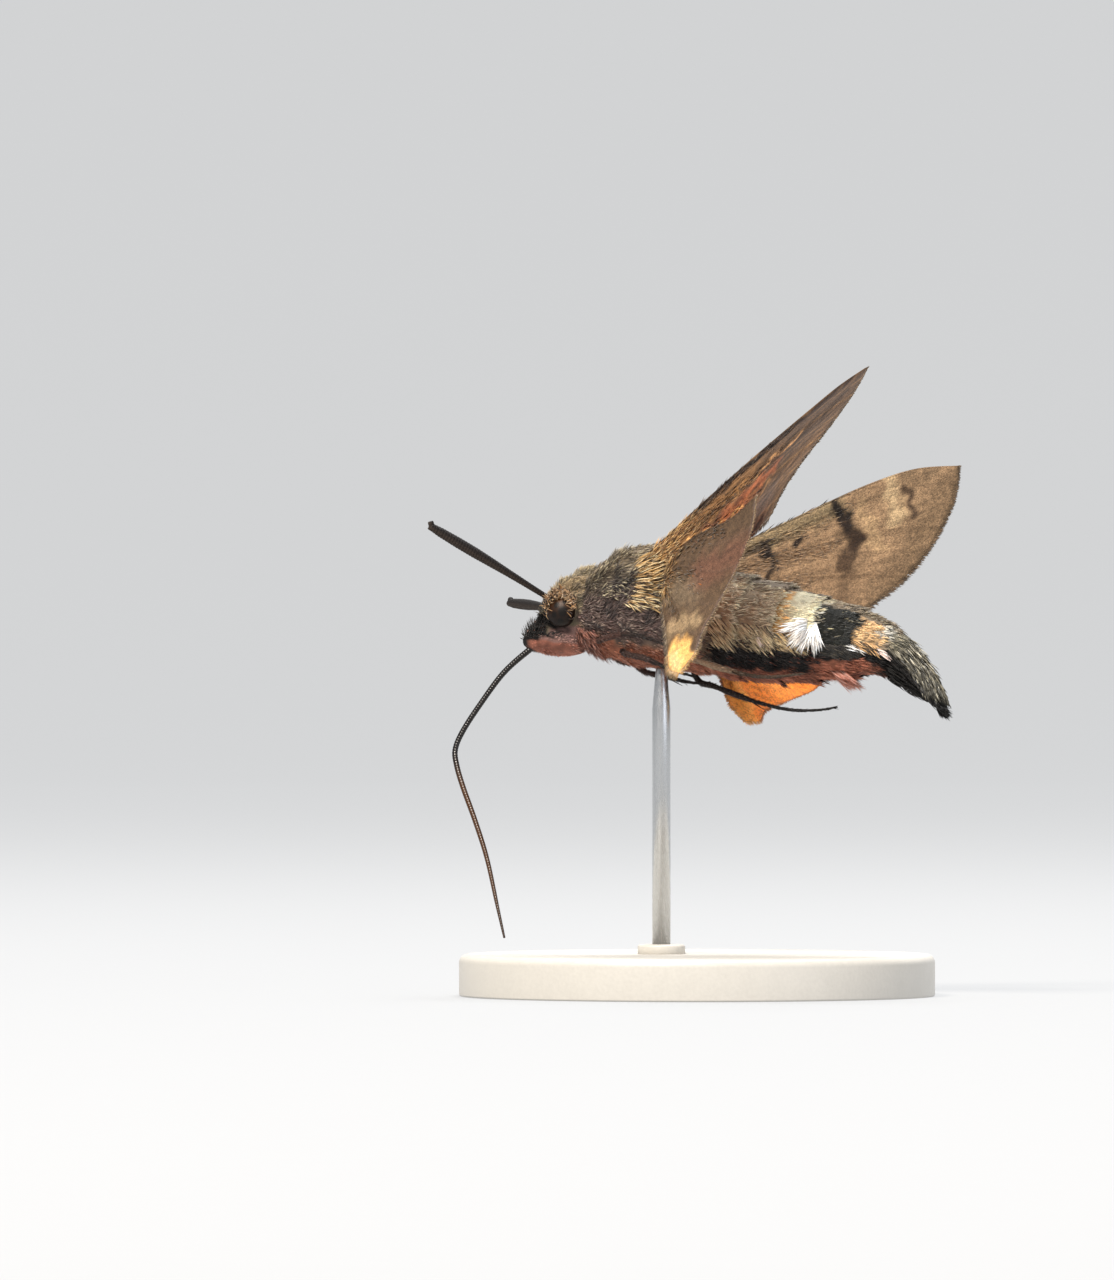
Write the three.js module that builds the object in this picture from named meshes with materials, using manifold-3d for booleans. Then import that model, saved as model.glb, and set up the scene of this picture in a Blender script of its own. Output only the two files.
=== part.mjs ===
// A hummingbird hawk moth in hovering flight, life size, held by a plain display stand.
// Lengths are millimetres and angles are degrees. The moth has its own frame: x towards the head,
// y towards its left side, z towards its back. It is then turned, banked and raised on the stand,
// whose foot is centred on the origin with +Z up.
import * as THREE from "three";
import { mergeVertices } from "three/addons/utils/BufferGeometryUtils.js";
import Module from "manifold-3d";

const wasm = await Module();
wasm.setup();

// Pose of the moth over the stand
const YAW = 159.5;
const PITCH = 7.2;
const BANK = 17.0;
const THORAX_PLACE = [-3.0, 1.2, 27.6];

// Clearance that touching pieces keep
const GAP = 0.3;

// Trunk outline: x, top, bottom, half width
const TRUNK = [
  [5.6, 1.5, -2.9, 1.8],
  [4.8, 2.7, -3.5, 2.6],
  [3.9, 3.4, -3.9, 3.15],
  [2.2, 4.45, -4.3, 3.75],
  [0.2, 4.75, -4.5, 4.0],
  [-2.0, 4.5, -4.5, 4.05],
  [-4.0, 4.0, -4.45, 3.9],
  [-5.2, 3.75, -4.4, 3.8],
  [-7.0, 3.55, -4.45, 3.85],
  [-9.4, 3.3, -4.25, 3.95],
  [-12.2, 2.85, -3.95, 3.85],
  [-14.4, 2.5, -3.45, 3.45],
  [-16.9, 1.9, -2.8, 2.8],
  [-18.6, 1.1, -2.6, 2.35],
  [-19.8, 0.3, -2.7, 2.1],
];
const TRUNK_SIDES = 22;
const NECK = { x: 4.7, z: -0.7, lean: -14 };
const WAIST_X = -4.6;
const SEGMENT_ENDS = [-7.0, -10.0, -12.8, -15.5, -18.0];
const SEGMENT_STEP = 0.14;

// Head outline and the pair of palps under it
const HEAD = [
  [3.6, 2.2, -3.3, 2.3],
  [4.6, 2.55, -3.5, 2.6],
  [5.6, 2.35, -3.5, 2.7],
  [6.5, 1.6, -3.35, 2.55],
  [7.3, 0.95, -3.1, 2.15],
  [7.9, 0.15, -2.85, 1.65],
  [8.3, -0.65, -2.5, 1.05],
  [8.45, -1.3, -2.1, 0.4],
];
const PALPS = [
  [4.9, -2.6, -4.0, 1.3],
  [5.7, -2.3, -4.25, 1.7],
  [6.8, -2.0, -4.4, 1.75],
  [7.8, -1.7, -4.4, 1.55],
  [8.6, -1.9, -4.3, 1.15],
  [9.05, -2.6, -4.15, 0.8],
  [9.3, -3.3, -4.0, 0.35],
];
const HEAD_SIDES = 20;
const EYE = { at: [6.15, 1.95, -1.45], radii: [1.15, 0.95, 1.25] };

// Feelers: a stalk that swells into a club and ends in a small hook
const ANTENNA = { root: [7.0, 0.75, -0.75], reach: [7.45, 8.45, 2.2], hook: [0.15, 0.2, 0.4] };
const ANTENNA_RADII = [0.25, 0.25, 0.26, 0.29, 0.34, 0.37, 0.34, 0.25];
const HOOK_RADII = [0.25, 0.22, 0.12];
const ANTENNA_SIDES = 7;

// Tongue: a thin tube in the middle plane, parted at its bend
const TONGUE = [
  [7.6, -3.1],
  [8.8, -4.3],
  [10.25, -6.15],
  [11.45, -8.65],
  [12.3, -10.8],
  [12.55, -12.2],
  [12.2, -13.3],
  [11.35, -14.85],
  [9.8, -17.3],
  [8.3, -19.9],
  [6.7, -23.3],
  [5.7, -25.4],
];
const TONGUE_CUTS = [0.42, 0.62];
const TONGUE_RADIUS = 0.27;
const TONGUE_SIDES = 7;

// Wings. A planform is drawn as distance from the root towards the tip, and distance behind that line.
const MEMBRANE = 0.5;
const VEIN_RISE = 0.14;
const VEIN_WIDTH = 0.02;
const EDGE_TAPER = 0.4;
const FOREWING = {
  front: [[0, -0.4], [4, -0.55], [8, -0.75], [12, -1.0], [16, -1.15], [19.5, -0.9], [22.6, 0.1]],
  rear: [[0, 1.0], [3, 2.6], [6, 4.2], [9, 5.9], [12.3, 7.6]],
  outer: [[22.6, 0.1], [21.5, 2.3], [19.3, 4.5], [16.2, 6.4], [12.3, 7.6]],
  veins: [0.14, 0.28, 0.43, 0.58, 0.74, 0.89],
  steps: 11,
};
const HINDWING = {
  front: [[0, -0.1], [3.2, -0.6], [6.0, 0.0], [8.2, 0.7], [10.3, 1.0], [12.2, 1.0]],
  rear: [[0, 1.0], [-0.2, 2.8], [0, 4.8], [0.1, 6.8], [0.2, 8.4], [1.3, 9.5]],
  outer: [[12.2, 1.0], [10.8, 2.7], [8.4, 4.3], [6.0, 5.9], [4.1, 7.3], [3.0, 8.7], [1.3, 9.5]],
  veins: [0.16, 0.34, 0.52, 0.7, 0.86],
  steps: 9,
};

// How each wing is held, all written as for the left side: where its root is, where its tip is,
// which way its hind part points at the root, and how far it turns towards the tip.
const FOREWING_ROOT = [0.2, 2.6, 3.0];
const WINGS = {
  forewing_left: {
    shape: FOREWING,
    root: FOREWING_ROOT,
    tip: [-15.7, 10.7, 16.9],
    hind: [-0.6, 0.16, -0.78],
    twist: -36,
    reach: 18,
  },
  forewing_right: {
    shape: FOREWING,
    root: FOREWING_ROOT,
    tip: [-16.7, 9.7, 16.2],
    hind: [-0.42, 0.45, -0.79],
    twist: -13,
    reach: 12,
  },
  hindwing_left: {
    shape: HINDWING,
    root: [-1.5, 3.8, 1.6],
    tip: [-9.6, 11.6, 7.3],
    hind: [-0.34, 0.3, -0.89],
    twist: 16,
    reach: 12,
  },
  hindwing_right: {
    shape: HINDWING,
    root: [-1.9, 4.1, 0.9],
    tip: [-7.4, 13.3, 1.4],
    hind: [-0.56, -0.26, -0.8],
    twist: -10,
    reach: 12,
  },
};

// Legs, for the left side: stations as x, angle round the trunk from straight down, and height over it.
// The right hind leg hangs a little lower than the left one.
const ROOT_DEPTH = -0.6;
const FORE_LEG = {
  radii: [0.34, 0.32, 0.3, 0.26],
  route: [
    [3.1, 26, ROOT_DEPTH],
    [2.4, 42, 0.6],
    [0.2, 52, 0.6],
    [-2.6, 48, 0.6],
  ],
};
const MID_LEG = {
  radii: [0.36, 0.34, 0.3, 0.26],
  route: [
    [1.4, 20, ROOT_DEPTH],
    [0.6, 30, 0.55],
    [-1.0, 28, 0.55],
    [-2.8, 18, 0.55],
    [-4.4, 12, 0.55],
  ],
};
const HIND_LEG_RADII = [0.38, 0.36, 0.3, 0.26];
const HIND_LEG = {
  radii: HIND_LEG_RADII,
  route: [
    [-2.6, 40, ROOT_DEPTH],
    [-3.9, 42, 0.65],
    [-6.0, 36, 0.7],
    [-8.4, 33, 0.9],
    [-10.4, 31, 1.0],
    [-13.0, 34, 0.75],
  ],
};
const HIND_LEG_LOW = {
  radii: HIND_LEG_RADII,
  route: [
    [-2.6, 38, ROOT_DEPTH],
    [-3.6, 34, 0.55],
    [-5.1, 21, 0.6],
    [-7.1, 8, 0.95],
    [-9.3, 3, 1.4],
    [-11.6, 1, 1.9],
    [-13.5, 2, 2.1],
    [-15.0, 5, 1.85],
  ],
};
const LEGS = {
  fore_leg_left: { side: 1, ...FORE_LEG },
  fore_leg_right: { side: -1, ...FORE_LEG },
  mid_leg_left: { side: 1, ...MID_LEG },
  mid_leg_right: { side: -1, ...MID_LEG },
  hind_leg_left: { side: 1, ...HIND_LEG },
  hind_leg_right: { side: -1, ...HIND_LEG_LOW },
};
const LEG_SIDES = 7;

// Tail brush and side tufts, as flat tapered locks
const TAIL_CORE = [
  [-17.6, 1.6, -2.7, 2.6],
  [-18.6, 1.1, -2.6, 2.35],
  [-19.4, 0.45, -2.75, 2.0],
  [-20.1, -0.4, -2.9, 1.5],
  [-20.6, -1.3, -2.95, 0.7],
];
const TAIL = {
  start: -18.4,
  end: -23.4,
  sideEnd: -22.4,
  rootSpread: 1.9,
  tipSpread: 1.9,
  rootHeight: 1.55,
  tipHeight: 0.25,
};
const TAIL_LINE = [[0, -0.8], [0.35, -1.35], [0.7, -2.5], [1, -3.95]];
const TAIL_TIERS = [
  { level: 1, count: 9, short: 0.9 },
  { level: 0, count: 8, short: 0.0 },
  { level: -1, count: 8, short: 0.5 },
];
const LOCK = { width: 1.15, tuftWidth: 0.8, thick: 0.5, steps: 4 };
const TUFT_ROWS = {
  abdomen_3: { from: -10.8, to: -12.1, count: 4, root: 82, tip: 56, lift: 0.62 },
  abdomen_4: { from: -13.2, to: -14.8, count: 6, root: 84, tip: 50, lift: 0.7 },
  abdomen_5: { from: -16.0, to: -17.3, count: 4, root: 80, tip: 54, lift: 0.62 },
};

// Stand
const FOOT = { radius: 17, height: 3, edge: 0.6, bossRadius: 1.7, bossHeight: 0.7, sides: 72 };
const BOSS_SUNK = 0.5;
const ROD = { radius: 0.65, tipRadius: 0.4, taper: 3, meets: [-1.3, -0.45], sides: 16 };

// Finishes
const COLOURS = {
  coat: 0x7a6a55,
  belly: 0xb98a72,
  dark: 0x2a2522,
  eye: 0x2b1c14,
  forewing: 0x7b6650,
  hindwing: 0xc9762f,
  leg: 0x4a3a30,
  foot: 0xd8d6d0,
  rod: 0xb0b2b4,
};

const radians = THREE.MathUtils.degToRad;
const point = (a) => new THREE.Vector3(...a);

// A repeatable draw between 0 and 1.
let drawState = 7;
function draw() {
  drawState = (drawState * 16807) % 2147483647;
  return drawState / 2147483647;
}

// A value of each column of rows at x, on a smooth curve through the rows.
function along(rows, x) {
  const falling = rows[0][0] > rows[rows.length - 1][0];
  let i = 0;
  while (i < rows.length - 2 && (falling ? x < rows[i + 1][0] : x > rows[i + 1][0])) i++;
  const a = rows[i];
  const b = rows[i + 1];
  const before = rows[Math.max(i - 1, 0)];
  const after = rows[Math.min(i + 2, rows.length - 1)];
  const span = b[0] - a[0];
  const t = THREE.MathUtils.clamp((x - a[0]) / span, 0, 1);
  return a.slice(1).map((_, k) => {
    const c = k + 1;
    const slopeA = ((b[c] - before[c]) / (b[0] - before[0])) * span;
    const slopeB = ((after[c] - a[c]) / (after[0] - a[0])) * span;
    const t2 = t * t;
    const t3 = t2 * t;
    const ends = a[c] * (2 * t3 - 3 * t2 + 1) + b[c] * (3 * t2 - 2 * t3);
    return ends + slopeA * (t3 - 2 * t2 + t) + slopeB * (t3 - t2);
  });
}

// A closed solid from points and triangles, turned to face outwards.
function solid(points, faces) {
  let volume = 0;
  for (let i = 0; i < faces.length; i += 3) {
    const [a, b, c] = [points[faces[i]], points[faces[i + 1]], points[faces[i + 2]]];
    volume += a.dot(new THREE.Vector3().crossVectors(b, c));
  }
  const triVerts = new Uint32Array(faces);
  if (volume < 0) {
    for (let i = 0; i < triVerts.length; i += 3) {
      [triVerts[i + 1], triVerts[i + 2]] = [triVerts[i + 2], triVerts[i + 1]];
    }
  }
  const vertProperties = new Float32Array(points.flatMap((p) => [p.x, p.y, p.z]));
  return new wasm.Manifold(new wasm.Mesh({ numProp: 3, vertProperties, triVerts }));
}

// The same for a three.js geometry.
function solidOf(geometry) {
  const bare = geometry.clone();
  bare.deleteAttribute("normal");
  bare.deleteAttribute("uv");
  const merged = mergeVertices(bare, 1e-4);
  const place = merged.getAttribute("position");
  const points = [];
  for (let i = 0; i < place.count; i++) points.push(new THREE.Vector3().fromBufferAttribute(place, i));
  return solid(points, [...merged.index.array]);
}

// The largest closed surface of a solid, so that no loose scrap or sealed hollow stays.
function largest(made) {
  return made.decompose().sort((a, b) => b.volume() - a.volume())[0];
}

// Rings of equal count joined into a closed solid with flat ends.
function loft(rings) {
  const n = rings[0].length;
  const points = rings.flat();
  const last = points.length - n;
  const faces = [];
  for (let i = 0; i + 1 < rings.length; i++) {
    for (let j = 0; j < n; j++) {
      const a = i * n + j;
      const b = i * n + ((j + 1) % n);
      faces.push(a, b, a + n, b, b + n, a + n);
    }
  }
  for (let j = 1; j + 1 < n; j++) {
    faces.push(0, j + 1, j, last, last + j, last + j + 1);
  }
  return solid(points, faces);
}

// An egg-shaped ring across x: its widest line is at mid height between top and bottom.
function ringAt(x, [top, bottom, half], sides, grow = 0) {
  const middle = (top + bottom) / 2;
  const ring = [];
  for (let j = 0; j < sides; j++) {
    const a = (2 * Math.PI * j) / sides;
    const high = (top - bottom) / 2 + grow;
    ring.push(new THREE.Vector3(x, (half + grow) * Math.sin(a), middle - high * Math.cos(a)));
  }
  return ring;
}

// The small step by which each ring of the hind body overlaps the next one.
function segmentStep(x) {
  const starts = [WAIST_X, ...SEGMENT_ENDS];
  const i = starts.findLastIndex((start) => x < start);
  if (i < 0 || i + 1 >= starts.length) return 0;
  const share = (starts[i] - x) / (starts[i] - starts[i + 1]);
  return SEGMENT_STEP * (share - 0.5);
}

function trunkSection(x) {
  const [top, bottom, half] = along(TRUNK, x);
  const step = segmentStep(x);
  return [top + step, bottom - step, half + step];
}

// A body of rings through a table of sections, at the stations asked for.
function body(stations, section, sides, grow = 0) {
  const rings = stations.map((x) => ringAt(x, section(x), sides, grow));
  const outwards = Math.sign(stations[0] - stations[1]);
  rings[0].forEach((p) => (p.x += outwards * grow));
  rings.at(-1).forEach((p) => (p.x -= outwards * grow));
  return loft(rings);
}

function stationsOf(rows, pieces) {
  const stations = [];
  for (let i = 0; i + 1 < rows.length; i++) {
    for (let k = 0; k < pieces; k++) {
      stations.push(THREE.MathUtils.lerp(rows[i][0], rows[i + 1][0], k / pieces));
    }
  }
  stations.push(rows[rows.length - 1][0]);
  return stations;
}

// A point over the trunk: x, the angle round it from straight down towards a side, and the height over it.
function overTrunk([x, angle, lift], side) {
  const [top, bottom, half] = trunkSection(x);
  const a = radians(angle);
  const high = (top - bottom) / 2;
  const out = new THREE.Vector3(0, Math.sin(a) / half, -Math.cos(a) / high).normalize();
  const on = new THREE.Vector3(x, half * Math.sin(a), (top + bottom) / 2 - high * Math.cos(a));
  return on.addScaledVector(out, lift).multiply(new THREE.Vector3(1, side, 1));
}

// A round tube through points, with a radius for each share of its length.
function tube(points, radii, sides, steps, grow = 0) {
  const line = new THREE.CatmullRomCurve3(points, false, "centripetal");
  const frames = line.computeFrenetFrames(steps, false);
  const rings = [];
  for (let i = 0; i <= steps; i++) {
    const share = i / steps;
    const centre = line.getPointAt(share);
    const place = share * (radii.length - 1);
    const low = Math.min(Math.floor(place), radii.length - 2);
    const radius = THREE.MathUtils.lerp(radii[low], radii[low + 1], place - low) + grow;
    const ring = [];
    for (let j = 0; j < sides; j++) {
      const a = (2 * Math.PI * j) / sides;
      ring.push(
        centre
          .clone()
          .addScaledVector(frames.normals[i], radius * Math.cos(a))
          .addScaledVector(frames.binormals[i], radius * Math.sin(a)),
      );
    }
    rings.push(ring);
  }
  return loft(rings);
}

// A flat lock through points: widest a third of the way along, and tapered to its tip.
function lock(points, face, width) {
  const line = new THREE.CatmullRomCurve3(points, false, "centripetal");
  const { steps, thick } = LOCK;
  const rings = [];
  for (let i = 0; i <= steps; i++) {
    const share = i / steps;
    const ahead = line.getTangentAt(share);
    const side = new THREE.Vector3().crossVectors(ahead, face).normalize();
    const up = new THREE.Vector3().crossVectors(side, ahead).normalize();
    const taper = 1 - Math.pow(share, 2.2) * 0.8;
    const centre = line.getPointAt(share);
    const half = (width / 2) * taper;
    const deep = (thick / 2) * (1 - 0.5 * share);
    rings.push([
      centre.clone().addScaledVector(side, half),
      centre.clone().addScaledVector(up, deep),
      centre.clone().addScaledVector(side, -half),
      centre.clone().addScaledVector(up, -deep),
    ]);
  }
  return loft(rings);
}

// A point of a wing's planform: u runs from root to outer edge and v from front to rear edge.
function planform(shape) {
  const curve = (list) => new THREE.SplineCurve(list.map((p) => new THREE.Vector2(...p)));
  const front = curve(shape.front);
  const rear = curve(shape.rear);
  const outer = curve(shape.outer);
  return (u, v) => {
    const root = front.getPoint(0).lerp(rear.getPoint(0), v);
    const spanwise = front.getPoint(u).lerp(rear.getPoint(u), v);
    const chordwise = root.lerp(outer.getPoint(v), u);
    const corners = front
      .getPoint(0)
      .lerp(rear.getPoint(0), v)
      .lerp(front.getPoint(1).lerp(rear.getPoint(1), v), u);
    return spanwise.add(chordwise).sub(corners);
  };
}

// The place in the moth's frame of a planform point: the wing turns about its span towards the tip.
function wingPlace(wing) {
  const root = point(wing.root);
  const span = point(wing.tip).sub(root).normalize();
  const hind = point(wing.hind).addScaledVector(span, -point(wing.hind).dot(span)).normalize();
  const over = new THREE.Vector3().crossVectors(span, hind);
  return ({ x: s, y: t }) => {
    const turn = radians(wing.twist) * THREE.MathUtils.smoothstep(s, 0, wing.reach);
    return root
      .clone()
      .addScaledVector(span, s)
      .addScaledVector(hind, t * Math.cos(turn))
      .addScaledVector(over, t * Math.sin(turn));
  };
}

// A wing as a membrane of even thickness whose veins stand up as ridges on both faces.
function wingSolid(wing, grow = 0) {
  const { shape } = wing;
  const flat = planform(shape);
  const place = wingPlace(wing);
  const at = (u, v) => place(flat(u, v));
  const lines = [0, ...shape.veins.flatMap((v) => [v - VEIN_WIDTH, v, v + VEIN_WIDTH]), 1];
  const isVein = (v) => v === 0 || shape.veins.includes(v);
  const upper = [];
  const lower = [];
  for (let i = 0; i <= shape.steps; i++) {
    const u = i / shape.steps;
    for (const v of lines) {
      const reach = 0.02;
      const alongSpan = at(Math.min(u + reach, 1), v).sub(at(Math.max(u - reach, 0), v));
      const alongChord = at(u, Math.min(v + reach, 1)).sub(at(u, Math.max(v - reach, 0)));
      const normal = alongSpan.cross(alongChord).normalize();
      const taper = 1 - EDGE_TAPER * Math.pow(u, 8);
      const half = (MEMBRANE / 2 + (isVein(v) ? VEIN_RISE : 0)) * taper + grow;
      upper.push(at(u, v).addScaledVector(normal, half));
      lower.push(at(u, v).addScaledVector(normal, -half));
    }
  }
  const across = lines.length;
  const count = upper.length;
  const faces = [];
  for (let i = 0; i < shape.steps; i++) {
    for (let j = 0; j + 1 < across; j++) {
      const a = i * across + j;
      const [b, c, d] = [a + 1, a + across, a + across + 1];
      faces.push(a, b, c, b, d, c);
      faces.push(count + a, count + c, count + b, count + b, count + c, count + d);
    }
  }
  const edge = (a, b) => faces.push(a, count + a, b, b, count + a, count + b);
  for (let j = 0; j + 1 < across; j++) {
    edge(j, j + 1);
    edge(shape.steps * across + j + 1, shape.steps * across + j);
  }
  for (let i = 0; i < shape.steps; i++) {
    edge((i + 1) * across, i * across);
    edge(i * across + across - 1, (i + 1) * across + across - 1);
  }
  return solid([...upper, ...lower], faces);
}

// A copy on the moth's other side.
function mirrored(made) {
  return made.scale([1, -1, 1]);
}

// The half of space ahead of, or behind, a cut, as a large block.
function blockAt(x, towards, z = 0, lean = 0) {
  const block = new THREE.BoxGeometry(60, 60, 60);
  block.translate(towards * (30 + GAP / 2), 0, 0).rotateY(radians(lean)).translate(x, 0, z);
  return solidOf(block);
}

// Body
const trunkStations = stationsOf(TRUNK, 1);
for (const end of SEGMENT_ENDS) trunkStations.push(end + 0.01, end - 0.25);
for (const middle of [-8.4, -11.3, -13.7, -15.9]) trunkStations.push(middle);
trunkStations.sort((a, b) => b - a);
const trunk = body(trunkStations, trunkSection, TRUNK_SIDES);
const trunkGrown = body(trunkStations, trunkSection, TRUNK_SIDES, GAP);
const headSection = (x) => along(HEAD, x);
const headWhole = body(stationsOf(HEAD, 2), headSection, HEAD_SIDES);
const headGrown = body(stationsOf(HEAD, 2), headSection, HEAD_SIDES, GAP);

// An eye, set in a socket of the head.
function eyeSolid(grow = 0) {
  const ball = new THREE.SphereGeometry(1, 16, 10);
  ball.scale(...EYE.radii.map((r) => r + grow)).translate(...EYE.at);
  return solidOf(ball);
}

// A feeler from inside the head, bowed a little, with its hook at the tip.
function antennaSolid() {
  const root = point(ANTENNA.root);
  const reach = point(ANTENNA.reach);
  const tip = root.clone().add(reach);
  const middle = root.clone().addScaledVector(reach, 0.5).add(new THREE.Vector3(0, 0, 0.05));
  const hook = tip.clone().add(point(ANTENNA.hook));
  const stalk = tube([root, middle, tip], ANTENNA_RADII, ANTENNA_SIDES, 14);
  const end = tube([middle.clone().lerp(tip, 0.9), tip, hook], HOOK_RADII, ANTENNA_SIDES, 4);
  return stalk.add(end);
}

// A length of the tongue between two shares of its route.
function tongueSolid(from, to, grow = 0) {
  const route = TONGUE.map(([x, z]) => new THREE.Vector3(x, 0, z));
  const whole = new THREE.CatmullRomCurve3(route, false, "centripetal");
  const pieces = 8;
  const points = [];
  for (let i = 0; i <= pieces; i++) {
    points.push(whole.getPointAt(THREE.MathUtils.lerp(from, to, i / pieces)));
  }
  const last = to === 1 ? TONGUE_RADIUS * 0.5 : TONGUE_RADIUS;
  return tube(points, [TONGUE_RADIUS, TONGUE_RADIUS, TONGUE_RADIUS, last], TONGUE_SIDES, 10, grow);
}

// A leg along its stations over the trunk.
function legSolid({ side, radii, route }) {
  return tube(route.map((station) => overTrunk(station, side)), radii, LEG_SIDES, 12);
}

// Side tufts of a ring of the hind body: locks that hang from its flank.
function tuftLocks({ from, to, count, root, tip, lift }) {
  const locks = [];
  for (const side of [1, -1]) {
    for (let i = 0; i < count; i++) {
      const share = i / (count - 1);
      const x = THREE.MathUtils.lerp(from, to, share);
      const fan = (share - 0.35) * 0.9;
      const low = tip + 5 * draw();
      const points = [
        overTrunk([x, root, -0.5], side),
        overTrunk([x - fan * 0.3, (root * 2 + low) / 3, lift * 0.75], side),
        overTrunk([x - fan * 0.7, (root + low * 2) / 3, lift], side),
        overTrunk([x - fan, low, lift], side),
      ];
      const face = new THREE.Vector3(0, side, -0.5);
      locks.push(lock(points, face, LOCK.tuftWidth));
    }
  }
  return locks;
}

// The tail brush: tiers of locks that fan out from the last ring over a short core.
function tailLocks() {
  const locks = [];
  for (const { level, count, short } of TAIL_TIERS) {
    for (let i = 0; i < count; i++) {
      const across = count === 1 ? 0 : (2 * i) / (count - 1) - 1;
      const end = THREE.MathUtils.lerp(TAIL.end, TAIL.sideEnd, across * across) + short + 0.5 * draw();
      const arch = Math.sqrt(1 - 0.75 * across * across);
      const points = [0, 0.35, 0.7, 1].map((share) => {
        const [line] = along(TAIL_LINE, share);
        const high = THREE.MathUtils.lerp(TAIL.rootHeight, TAIL.tipHeight, Math.pow(share, 0.8));
        return new THREE.Vector3(
          THREE.MathUtils.lerp(TAIL.start, end, share),
          across * THREE.MathUtils.lerp(TAIL.rootSpread, TAIL.tipSpread, share),
          line + level * high * arch,
        );
      });
      const face = new THREE.Vector3(0, across * 0.9, level === 0 ? 1 : level);
      locks.push(lock(points, face, LOCK.width));
    }
  }
  return locks;
}

// Where the rod meets the underside, straight above its foot
const moth = new THREE.Group();
moth.rotation.set(radians(BANK), radians(-PITCH), radians(YAW), "ZYX");
moth.position.set(...THORAX_PLACE);
moth.updateMatrixWorld(true);

function rodTop() {
  const [x, y] = ROD.meets;
  const [top, bottom, half] = trunkSection(x);
  const z = (top + bottom) / 2 - ((top - bottom) / 2) * Math.sqrt(1 - (y / half) ** 2);
  return new THREE.Vector3(x, y, z).applyMatrix4(moth.matrixWorld);
}

// The foot of the stand, a bevelled disc with a small boss under the rod.
function footSolid(rodPlace) {
  const { radius, height, edge, bossRadius, bossHeight } = FOOT;
  const outline = [[0, 0], [radius, 0], [radius, height - edge], [radius - edge, height], [0, height]];
  const disc = new THREE.LatheGeometry(outline.map((p) => new THREE.Vector2(...p)), FOOT.sides);
  disc.rotateX(Math.PI / 2);
  const boss = new THREE.CylinderGeometry(bossRadius * 0.8, bossRadius, bossHeight + BOSS_SUNK, 24);
  boss.rotateX(Math.PI / 2).translate(rodPlace.x, rodPlace.y, height + bossHeight / 2 - BOSS_SUNK / 2);
  return solidOf(disc).add(solidOf(boss));
}

// The rod, from the boss to just under the moth, tapered at its top and cut to the moth's slope.
function rodSolid(top) {
  const bottom = FOOT.height + FOOT.bossHeight + GAP;
  const length = top.z + 1 - bottom;
  const { radius, tipRadius, taper } = ROD;
  const outline = [[0, 0], [radius, 0], [radius, length - taper], [tipRadius, length], [0, length]];
  const rod = new THREE.LatheGeometry(outline.map((p) => new THREE.Vector2(...p)), ROD.sides);
  rod.rotateX(Math.PI / 2).translate(top.x, top.y, bottom);
  return solidOf(rod);
}

// Assembly
function finish(color, roughness = 0.9, metalness = 0) {
  return new THREE.MeshStandardMaterial({ color, roughness, metalness });
}

const materials = {
  coat: finish(COLOURS.coat),
  belly: finish(COLOURS.belly),
  dark: finish(COLOURS.dark),
  eye: finish(COLOURS.eye, 0.25),
  forewing: finish(COLOURS.forewing, 0.75),
  hindwing: finish(COLOURS.hindwing, 0.7),
  leg: finish(COLOURS.leg, 0.8),
  foot: finish(COLOURS.foot, 0.6),
  rod: finish(COLOURS.rod, 0.35, 1),
};

function meshOf(name, made, material) {
  const { numProp, vertProperties, triVerts } = largest(made).getMesh();
  const place = new Float32Array((vertProperties.length / numProp) * 3);
  for (let i = 0; i < place.length / 3; i++) {
    place.set(vertProperties.subarray(i * numProp, i * numProp + 3), i * 3);
  }
  const geometry = new THREE.BufferGeometry();
  geometry.setAttribute("position", new THREE.BufferAttribute(place, 3));
  geometry.setIndex(new THREE.BufferAttribute(new Uint32Array(triVerts), 1));
  geometry.computeVertexNormals();
  const mesh = new THREE.Mesh(geometry, material);
  mesh.name = name;
  return mesh;
}

const model = new THREE.Group();
const place = (name, made, material) => moth.add(meshOf(name, made, material));

// Head and what it carries
const tongueGrown = tongueSolid(0, 1, GAP);
const eyeGrown = eyeSolid(GAP);
const head = headWhole.intersect(blockAt(NECK.x, 1, NECK.z, NECK.lean));
place("head", head.subtract(eyeGrown).subtract(mirrored(eyeGrown)), materials.coat);
place("eye_left", eyeSolid(), materials.eye);
place("eye_right", mirrored(eyeSolid()), materials.eye);
const palps = body(stationsOf(PALPS, 2), (x) => along(PALPS, x), HEAD_SIDES)
  .subtract(headGrown)
  .subtract(trunkGrown)
  .subtract(tongueGrown)
  .subtract(eyeGrown)
  .subtract(mirrored(eyeGrown));
const half = (side) => solidOf(new THREE.BoxGeometry(60, 30, 60).translate(0, side * (15 + GAP / 2), 0));
place("palp_left", palps.intersect(half(1)), materials.belly);
place("palp_right", palps.intersect(half(-1)), materials.belly);
const antenna = antennaSolid().subtract(headGrown);
place("antenna_left", antenna, materials.dark);
place("antenna_right", mirrored(antenna), materials.dark);
const partings = [0, ...TONGUE_CUTS, 1];
["proboscis_upper", "proboscis_bend", "proboscis_lower"].forEach((name, i) => {
  const clear = GAP / 2 / 28;
  const from = i === 0 ? 0 : partings[i] + clear;
  const to = i === 2 ? 1 : partings[i + 1] - clear;
  place(name, tongueSolid(from, to).subtract(headGrown), materials.dark);
});

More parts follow.
